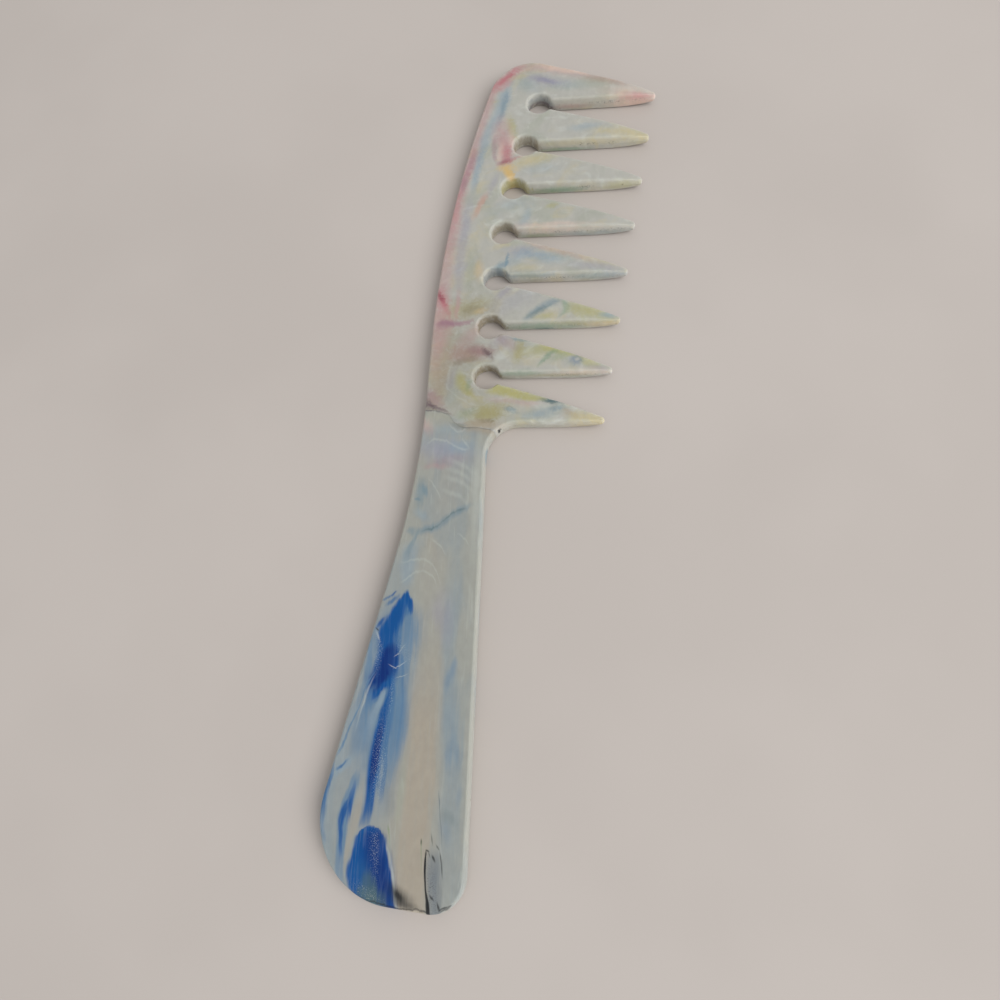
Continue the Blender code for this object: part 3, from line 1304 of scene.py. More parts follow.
HEAD_PLASTIC = Marbling(
    name="head plastic",
    base=Tint.CELADON,
    layers=(
        Cloud(Tint.SAGE, (0.09, 0.11, 0.1), (0.47, 0.68), 0.5, 3, 1.2),
        Cloud(Tint.STRAW, (0.10, 0.14, 0.1), (0.52, 0.70), 0.35, 31, 1.5),
        Cloud(Tint.CHALK, (0.16, 0.22, 0.12), (0.52, 0.72), 0.4, 57, 2.0),
        # The spine beside the lowest holes.
        strand(
            Tint.SAND, (95, -10.6, 1.2, 0), (98, -10.6, 1.8, 0.5), (102, -10.5, 2, 0.7),
            (107, -10.2, 2.2, 0.7), (112, -9.6, 2.2, 0.5), (118, -9.4, 1.6, 0.3), (122, -8.6, 1.2, 0),
            feather=0.8,
        ),
        strand(
            Tint.SAGE, (95, -6.8, 1, 0), (98, -7, 1.6, 0.5), (102, -7.4, 1.6, 0.5), (106, -7.4, 1.2, 0.3),
            (109, -7.4, 1, 0), feather=0.8,
        ),
        Dab(Tint.SKY, (-8, 98.4), (-7.2, 99.8), 1.8, 0.2),
        Dab(Tint.LILAC, (-8.2, 101.4), (-7.8, 104.8), 2, 0.35),
        Dab(Tint.OLIVE, (-6.6, 120.2), (-1.6, 121.2), 4, 0.65, 0.95),
        Dab(Tint.UMBER, (-5.4, 119.8), (-3, 120.6), 2, 0.3, 0.95),
        Dab(Tint.MUSTARD, (-3, 119.5), (-1.5, 119.9), 1.2, 0.35, 0.8),
        Dab(Tint.SAGE, (-5, 125.5), (-4.8, 134), 2.6, 0.6, 0.8),
        Dab(Tint.ROSE, (-6.4, 109.2), (-1.4, 109.5), 3, 0.65, 0.8),
        Dab(Tint.UMBER, (-6, 109.4), (-1.2, 109.6), 3, 0.4, 0.9),
        Dab(Tint.MAUVE, (-3.4, 110), (-0.6, 109.5), 1.8, 0.5, 0.9),
        Dab(Tint.PLUM, (-0.7, 109.8), (0.5, 108.5), 1.2, 0.8, 0.9),
        Dab(Tint.ROSE, (-6, 111.4), (-3, 115), 3, 0.4, 0.8),
        Dab(Tint.MAUVE, (2.2, 112.8), (4.6, 111.4), 2.8, 0.4, 0.8),
        strand(
            Tint.UMBER, (-9.4, 106.9, 0.3, 0), (-7.4, 107.2, 0.6, 0.45), (-5, 107.8, 0.6, 0.35),
            (-3, 108, 0.5, 0.3), (-1, 107.6, 0.3, 0), feather=0.9, along=Along.TEETH,
        ),
        strand(
            Tint.LEMON, (106.4, -6.2, 0.4, 0), (104, -6, 1.1, 0.65), (102, -5.4, 1.2, 0.8),
            (100.5, -4.6, 1.1, 0.8), (99.2, -3.4, 0.8, 0.6), (97.8, -2, 0.3, 0), feather=0.95,
        ),
        Dab(Tint.FERN, (-4.4, 101), (-3.9, 103), 1, 0.35),
        flow_line((-7.8, 109), (-8.1, 107), (-8.8, 104), (-8.4, 101), (-7, 99.4), along=Along.COMB),
        flow_line((-7.4, 99.8), (-6.5, 99), (-3.5, 97.5), (0, 97), (4, 97.8), (6.5, 98.4)),
        Dab(Tint.UMBER, (-5, 99), (-5, 115), 16, 0.2, 0.9),
        # The corner where the charges met.
        Dab(Tint.MAUVE, (-13, 100), (-10.6, 97.8), 2.4, 0.5, 0.8),
        strand(
            Tint.PLUM, (-13.6, 97.6, 1, 0.75), (-12.6, 97.4, 0.9, 0.85), (-11.6, 97, 0.6, 0.8),
            (-10.4, 96.6, 0.4, 0.6), (-9, 96, 0.3, 0.5), (-7.8, 95.4, 0.25, 0.3), (-6.6, 94.8, 0.2, 0),
            feather=0.8, along=Along.TEETH,
        ),
        Dab(Tint.SKY, (-7, 93.9), (-3.6, 93.2), 1.6, 0.3, 0.9),
        Dab(Tint.OLIVE, (-1, 94.8), (2.4, 95.9), 3.6, 0.9, 0.9),
        Dab(Tint.OLIVE, (-1.4, 97.6), (-0.4, 96), 2, 0.4, 0.9),
        Dab(Tint.SAND, (-4.4, 92.6), (2.6, 92.8), 1.9, 0.7, 0.8),
        Dab(Tint.UMBER, (-0.6, 93.4), (1.6, 93.9), 0.9, 0.55, 0.8),
        Dab(Tint.MOSS, (-5.4, 94.9), (-3.4, 95.6), 1.8, 0.5, 0.8),
        strand(
            Tint.TEAL, (-7.4, 93, 0.14, 0), (-6.4, 92.8, 0.3, 0.3), (-5, 92.7, 0.3, 0.3),
            (-3.6, 92.6, 0.14, 0), feather=0.9, along=Along.TEETH,
        ),
        # Rose, crimson and mauve up the spine, with a cool strand inside them.
        strand(
            Tint.ROSE, (103, -11.6, 0.8, 0), (110, -11.4, 1.2, 0.45), (115, -11, 1.9, 0.6),
            (120, -11, 2, 0.7), (124, -11.4, 1.6, 0.6), (128, -11, 1.7, 0.5), (134, -10.6, 1.8, 0.6),
            (140, -9.9, 1.8, 0.7), (146, -9.2, 1.5, 0.75), (150, -8.6, 1.3, 0.75), (155, -7.6, 1.3, 0.75),
            (160, -6.3, 1.4, 0.65), (165, -5.3, 1.3, 0.6), (170, -4.4, 1.2, 0.55), (175, -3.3, 1.1, 0.6),
            (179, -2.2, 1.1, 0.65), (182, -1, 1.2, 0.6), (185, 0.6, 0.6, 0), feather=0.9, grain=0.8,
        ),
        strand(
            Tint.MAUVE, (-12.4, 116.8, 0.4, 0), (-11, 116.9, 0.6, 0.65), (-9.6, 117, 0.7, 0.8),
            (-8, 116.8, 0.6, 0.8), (-6, 116.9, 0.5, 0.7), (-4.4, 117.3, 0.4, 0.5), (-3, 118, 0.2, 0),
            feather=0.9, along=Along.TEETH,
        ),
        Dab(Tint.MAUVE, (-10.6, 116.2), (-8.6, 117.2), 1.6, 0.4, 0.8),
        Dab(Tint.RASPBERRY, (-11.9, 125), (-10.9, 121.8), 2, 0.5, 0.9),
        Dab(Tint.CRIMSON, (-11.9, 124.4), (-10.8, 122.3), 0.9, 0.75, 0.9),
        strand(
            Tint.RASPBERRY, (123.5, -11.2, 0.3, 0), (122, -10.6, 0.5, 0.5), (120.5, -9.9, 0.5, 0.4),
            (118.8, -9.1, 0.4, 0.3), (117, -8.4, 0.2, 0), feather=0.9,
        ),
        strand(
            Tint.ROSE, (117.5, -7.5, 0.3, 0), (119, -7.5, 0.45, 0.5), (123, -7.5, 0.45, 0.5),
            (126.5, -7.4, 0.3, 0), feather=0.8,
        ),
        strand(
            Tint.RASPBERRY, (140, -9.8, 0.3, 0), (143, -9.5, 0.7, 0.2), (147, -9.1, 0.7, 0.25),
            (151, -8.5, 0.6, 0.25), (154, -7.9, 0.3, 0), feather=0.9,
        ),
        strand(
            Tint.MAUVE, (150, -8.2, 0.4, 0), (153, -7.6, 0.7, 0.5), (157, -6.8, 0.8, 0.5),
            (161, -6, 0.7, 0.45), (165, -5.4, 0.4, 0), feather=0.8,
        ),
        strand(
            Tint.LILAC, (122, -7.6, 0.6, 0), (128, -7.5, 1, 0.45), (138, -7, 1, 0.5),
            (146, -6.4, 0.9, 0.45), (152, -5.6, 0.6, 0), feather=0.8,
        ),
        strand(
            Tint.SKY, (150, -5.3, 0.5, 0), (154, -5, 0.7, 0.55), (158, -4.7, 0.8, 0.65),
            (163, -3.9, 1, 0.6), (168, -2.5, 1.3, 0.55), (172, -0.8, 1.5, 0.6), (176, 0.6, 1.4, 0.65),
            (180, 1.4, 1.3, 0.6), (184, 2.4, 0.8, 0), feather=0.8,
        ),
        strand(
            Tint.STEEL, (182, 1.6, 0.3, 0), (178, 1.3, 0.5, 0.35), (174, 0.6, 0.55, 0.4),
            (170, -0.2, 0.4, 0.2), (167, -0.8, 0.3, 0), feather=0.9,
        ),
        strand(
            Tint.BLUSH, (151.5, -2.2, 0.4, 0), (150, -2.7, 0.6, 0.6), (147.5, -3.7, 0.7, 0.7),
            (145, -4.6, 0.6, 0.5), (142, -5.5, 0.4, 0), feather=0.9,
        ),
        strand(
            Tint.MUSTARD, (134, -2.8, 0.4, 0), (131.6, -3, 0.9, 0.25), (130, -3.2, 1, 0.3),
            (128.5, -3, 0.7, 0.2), (127, -2.8, 0.4, 0), feather=0.9,
        ),
        # The crown.
        strand(
            Tint.ROSE, (0.5, 185, 0.8, 0), (3, 186.4, 1.1, 0.5), (7, 187, 1.2, 0.45),
            (12, 186.2, 1.3, 0.45), (17, 184.6, 1.2, 0.4), (22, 183, 1, 0.4), (28, 181, 0.9, 0.4),
            (34, 179.2, 0.5, 0), feather=0.9, along=Along.TEETH,
        ),
        strand(
            Tint.PEACH, (8, 187, 0.4, 0), (11, 186.7, 0.7, 0.5), (15, 185.6, 0.7, 0.6),
            (19, 184.4, 0.6, 0.5), (23, 183, 0.3, 0), feather=0.8, along=Along.TEETH,
        ),
        Dab(Tint.RASPBERRY, (-1.4, 181.8), (3, 185.8), 2.4, 0.6, 0.9, 0.8),
        Dab(Tint.RASPBERRY, (-0.6, 182.6), (2.3, 185.2), 1.3, 0.7, 0.9, 0.8),
        Dab(Tint.ROSE, (0, 181), (1.8, 182.8), 1.8, 0.5, 0.9),
        Dab(Tint.VIOLET, (7, 183.6), (13.6, 181.9), 2.6, 0.45, 0.9),
        Dab(Tint.VIOLET, (8.6, 183.3), (13, 182.2), 1.3, 0.5, 0.9),
        Dab(Tint.SAND, (22, 182), (27.6, 180.6), 2, 0.5, 0.9),
        Dab(Tint.STRAW, (3, 183.8), (5.4, 184.2), 1.4, 0.4, 0.8),
        Dab(Tint.SKY, (5, 182), (7.6, 180.6), 3, 0.35, 0.9),
        Dab(Tint.SKY, (14, 181), (19, 180.6), 2.4, 0.3, 0.9),
        Dab(Tint.LEMON, (2.6, 171), (3.6, 167.2), 2, 0.55, 0.8),
        Dab(Tint.PEACH, (3, 166.6), (2.8, 163.8), 1.4, 0.5, 0.8),
        Dab(Tint.ROSE, (0.8, 168.6), (1.5, 162), 3.8, 0.7, 0.9),
        Dab(Tint.PEACH, (0.3, 160.6), (0.9, 163.8), 1.5, 0.5, 0.8),
        strand(
            Tint.MAUVE, (168, -0.3, 0.3, 0), (165.5, -0.9, 0.5, 0.35), (162.5, -1, 0.5, 0.4),
            (160, -0.6, 0.45, 0.35), (158.6, 0.2, 0.3, 0), feather=0.9,
        ),
        Dab(Tint.RASPBERRY, (2, 163), (2.3, 159.8), 2.3, 0.65, 0.9),
        Dab(Tint.CRIMSON, (0.9, 159), (3, 159.7), 1.1, 0.6, 0.9),
        Dab(Tint.RASPBERRY, (3.2, 159.6), (5, 160.4), 0.7, 0.4, 0.8),
        Dab(Tint.MUSTARD, (1.4, 157.6), (3.8, 157.2), 1.9, 0.55, 0.8),
        Dab(Tint.MUSTARD, (2.6, 156.6), (3.4, 155), 1.8, 0.85, 0.8),
        Dab(Tint.STRAW, (4.8, 158.4), (11, 160), 2.8, 0.6, 0.9),
        flow_line((0.9, 155.2), (0.8, 154), (0.5, 152), (0.7, 150), (1.2, 149), along=Along.COMB),
        Dab(Tint.LILAC, (-1.7, 151.4), (-0.3, 154.8), 1.5, 0.45, 0.8),
        # The teeth, from the lowest.
        strand(
            Tint.LEMON, (-0.8, 100.3, 0.4, 0), (1, 100.7, 0.9, 0.7), (3, 100.6, 1.1, 0.9),
            (6, 99.8, 1.1, 0.9), (9, 99, 0.9, 0.85), (11, 98.5, 0.6, 0.7), (12.6, 98.2, 0.4, 0.4),
            (14, 98, 0.2, 0), feather=0.7, grain=0.8, along=Along.TEETH,
        ),
        strand(
            Tint.ROSE, (-1, 98.5, 0.3, 0), (2, 98.3, 0.5, 0.25), (6, 97.9, 0.5, 0.3), (10, 97.5, 0.4, 0.3),
            (13, 97.2, 0.2, 0), feather=0.9, grain=0.8, along=Along.TEETH,
        ),
        Dab(Tint.BLUSH, (6.4, 97.2), (9.8, 97), 0.9, 0.2, 0.9),
        Dab(Tint.STEEL, (4.4, 96.1), (6, 95.6), 1, 0.5, 0.8),
        Dab(Tint.SKY, (8.8, 94.7), (13.4, 95.2), 1.8, 0.5, 0.8),
        Dab(Tint.TEAL, (12.4, 98), (15.4, 97.6), 1, 0.95, 0.8),
        Dab(Tint.STEEL, (14, 96.2), (15.8, 96.4), 1.2, 0.5, 0.8),
        Dab(Tint.SAND, (16.8, 95.6), (18.6, 94.7), 1.1, 0.6, 0.8),
        Dab(Tint.STRAW, (19.4, 94.6), (24.6, 94), 2.2, 0.7, 0.8),
        Dab(Tint.OLIVE, (7, 112.2), (6.3, 108.2), 1.9, 0.6, 0.8),
        Dab(Tint.LEMON, (8.2, 109.4), (12.6, 110.2), 2.2, 0.5, 0.9),
        Dab(Tint.LILAC, (1.6, 111.6), (3.4, 113.4), 2, 0.3, 0.8),
        Dab(Tint.CHALK, (2, 107.6), (3.6, 109.8), 1.6, 0.4, 0.8),
        strand(
            Tint.LEMON, (9.6, 111, 0.6, 0), (12, 110.6, 0.8, 0.6), (15, 109.8, 0.8, 0.7),
            (18, 108.8, 0.8, 0.55), (20.5, 107.4, 1, 0.55), (23, 106.4, 0.8, 0.45), (25, 105.7, 0.4, 0),
            feather=0.8, along=Along.TEETH,
        ),
        strand(
            Tint.FERN, (10, 105.8, 0.3, 0), (11, 106.8, 0.6, 0.4), (12.2, 108, 0.7, 0.55),
            (13.5, 109.2, 0.7, 0.5), (15, 109.9, 0.5, 0.3), (16.4, 110, 0.3, 0), feather=0.8,
            along=Along.TEETH,
        ),
        Dab(Tint.FERN, (14.4, 108), (16.6, 108.8), 1.8, 0.3, 0.8),
        Dab(Tint.AZURE, (18.5, 107.4), (19, 107.5), 2, 0.5, 0.8),
        Dab(Tint.CELADON, (18.8, 107.5), (19, 107.6), 0.9, 0.9),
        # Painted highlight along the lower rim near tooth 1's tip.
        Dab(Tint.LILAC, (22.4, 105.9), (24.8, 105.6), 1.2, 0.5, 0.8),
        Dab(Tint.STEEL, (5.4, 112.9), (7.8, 112.4), 0.7, 0.5, 0.8),
        Dab(Tint.LILAC, (1, 120.4), (9, 123.8), 4, 0.3, 0.8),
        Dab(Tint.VIOLET, (2.2, 123.8), (3.9, 125.3), 1.7, 0.45, 0.8),
        strand(
            Tint.STEEL, (7, 117.4, 0.4, 0), (8.6, 118.3, 0.9, 0.55), (10, 119.3, 1, 0.6),
            (12, 120.6, 1, 0.55), (14, 121.7, 0.9, 0.45), (16, 122.3, 0.4, 0), feather=0.95,
            along=Along.TEETH,
        ),
        Dab(Tint.TEAL, (9.4, 118.8), (13, 120.8), 0.9, 0.35, 0.9),
        strand(
            Tint.FERN, (123, 15.9, 0.3, 0), (121.5, 16.3, 0.6, 0.4), (119.5, 16.6, 0.7, 0.5),
            (118.2, 16, 0.6, 0.4), (117.2, 14.6, 0.4, 0), feather=0.8,
        ),
        Dab(Tint.LEMON, (10.6, 117.8), (13.4, 118), 1.3, 0.5, 0.8),
        strand(
            Tint.LEMON, (15.8, 119.8, 0.8, 0), (18, 119.8, 1.6, 0.55), (20.5, 119.3, 1.7, 0.65),
            (23, 118.8, 1.3, 0.6), (25.5, 118.1, 0.9, 0.5), (28.4, 117.6, 0.4, 0), feather=0.8,
            along=Along.TEETH,
        ),
        Dab(Tint.SKY, (24.8, 118.2), (26.4, 118.2), 1.3, 0.7, 0.8),
        Dab(Tint.STEEL, (0.8, 130.8), (2.8, 131.7), 1.5, 0.6, 0.8),
        strand(
            Tint.STEEL, (135, 3.4, 0.2, 0), (133.5, 3.3, 0.3, 0.6), (131.5, 3.1, 0.3, 0.6),
            (130, 3, 0.2, 0), feather=0.8,
        ),
        Dab(Tint.LILAC, (4, 134.9), (9, 134.6), 2.6, 0.5, 0.9),
        Dab(Tint.SKY, (4, 132.2), (7.6, 134.2), 2.6, 0.4, 0.9),
        Dab(Tint.SKY, (8, 133.8), (14.6, 132.5), 2.3, 0.7, 0.9),
        Dab(Tint.STRAW, (6, 130.3), (9.6, 130.2), 1.6, 0.4, 0.9),
        strand(
            Tint.BLUSH, (6, 137.3, 0.3, 0), (9, 136.3, 0.6, 0.3), (14, 134.8, 0.8, 0.35),
            (19, 133.2, 0.8, 0.3), (25, 131, 0.4, 0), feather=0.8, along=Along.TEETH,
        ),
        # Lilac near tooth 3's tip, partly a painted highlight along its lower rim.
        Dab(Tint.LILAC, (19, 130.8), (27, 129.8), 2, 0.5, 0.9),
        Dab(Tint.STRAW, (0.6, 136), (3, 136.6), 1.3, 0.4, 0.8),
        Dab(Tint.SKY, (6.7, 142.4), (7.8, 145.4), 1.8, 0.5, 0.9),
        Dab(Tint.SKY, (0.6, 146), (6, 147.6), 3, 0.3, 0.9),
        Dab(Tint.LEMON, (12.4, 146.2), (13.6, 146.8), 1.3, 0.45, 0.8),
        Dab(Tint.PEACH, (6, 141.6), (20, 141.4), 1.1, 0.4, 0.9),
        Dab(Tint.SKY, (8, 156.8), (12.4, 157), 2.4, 0.3, 0.9),
        Dab(Tint.SKY, (18.6, 168), (23, 168), 2, 0.5, 0.9),
        Dab(Tint.STRAW, (24, 166.8), (34.5, 165.8), 2, 0.55, 0.9),
        Dab(Tint.PEACH, (27, 178), (36.6, 177.2), 3, 0.5, 0.9),
        Dab(Tint.ROSE, (30, 177.2), (36, 176.9), 1.4, 0.5, 0.9),
        # Colours that show on the walls alone.
        on_wall(Tint.UMBER, 0, 4, 12, 0.8, (2.2, 0.5), speckled=True),
        on_wall(Tint.SAND, 0, 14, 24, 0.25, (1.4, 1.2)),
        on_wall(Tint.FERN, 1, 3.5, 10, 0.4, (3, 0.8)),
        on_wall(Tint.OLIVE, 1, 10, 20, 0.4, (2.3, 0.6)),
        on_wall(Tint.PEACH, 1, 16, 27, 0.3, (3, 0.9)),
        on_wall(Tint.FERN, 2, 4, 20, 0.55, (1.9, 1.3)),
        on_wall(Tint.TEAL, 2, 10.5, 13, 0.6, (0.9, 0.6)),
        on_wall(Tint.OLIVE, 2, 15, 22, 0.4, (2.9, 0.8)),
        on_wall(Tint.MUSTARD, 2, 21, 28, 0.3, (2.1, 1)),
        on_wall(Tint.STEEL, 3, 4, 13, 0.4, (3.2, 0.7)),
        on_wall(Tint.SAND, 3, 5, 20, 0.3, (1, 0.9)),
        on_wall(Tint.STEEL, 3, 19, 29, 0.35, (2.4, 1)),
        on_wall(Tint.PEACH, 4, 5, 21, 0.25, (3, 0.9)),
        on_wall(Tint.MOSS, 4, 7, 13, 0.6, (0.9, 0.9)),
        on_wall(Tint.STEEL, 4, 14, 30, 0.35, (1.2, 1)),
        on_wall(Tint.MOSS, 5, 8, 13, 0.6, (1, 0.9)),
        on_wall(Tint.FERN, 5, 12, 19, 0.6, (1.5, 1)),
        on_wall(Tint.LEMON, 5, 26, 32, 0.45, (2, 1.3)),
        on_wall(Tint.STRAW, 6, 10, 32, 0.35, (2.8, 0.9)),
        on_wall(Tint.FERN, 6, 11, 20, 0.55, (0.8, 0.7)),
        on_wall(Tint.SAND, 7, 13, 26, 0.25, (2, 1.6)),
        on_wall(Tint.ROSE, 7, 14, 20, 0.35, (1.6, 0.7)),
        on_wall(Tint.RASPBERRY, 7, 30, 35, 0.3, (2.8, 0.9)),
        on_wall(Tint.PEACH, 7, 28.5, 35, 0.6, (1.6, 1)),
        # Soot specks in the parting line.
        *(
            on_wall(Tint.INK, tooth, start, end, 0.85, (2.3, 0.45), speckled=True)
            for tooth, start, end in (
                (1, 14, 20), (2, 18, 19.5), (3, 10, 20), (4, 14, 15), (4, 18.5, 19.5), (4, 23.5, 29),
                (5, 19.5, 22), (6, 19, 23), (6, 26, 27), (7, 24, 29), (7, 32, 33.5),
            )
        ),
        # The walls of the root holes: painted shade where the holes lie in shadow, with some dirt.
        *(
            Dab(tint, centre, centre, 7.4, strength, 0.3, depth=(1.9, 2))
            for tint, strength, centre in (
                (Tint.UMBER, 0.75, (-0.3, 104)), (Tint.UMBER, 0.75, (0, 116)),
                (Tint.SLATE, 0.65, (0.8, 128)), (Tint.UMBER, 0.65, (2.1, 140)),
                (Tint.OLIVE, 0.8, (4, 152)), (Tint.UMBER, 0.65, (6.4, 164)), (Tint.SLATE, 0.6, (9.4, 176)),
            )
        ),
        Dab(Tint.PLUM, (9.8, 176), (9.9, 176), 7.4, 0.6, 0.3, depth=(1, 0.9)),
        Dab(Tint.INK, (2.45, 91.75), (2.75, 92), 0.8, 0.95, 0.3, depth=(2.5, 0.9)),
    ),
    fibre=(0.9, 0.9, 0.6),
    fibre_twist=1.2,
    sway=(1.6, 1.6, 0),
    sway_grain=(0.16, 0.16, 0.15),
    fray=(0.9, 0.9, 0),
)

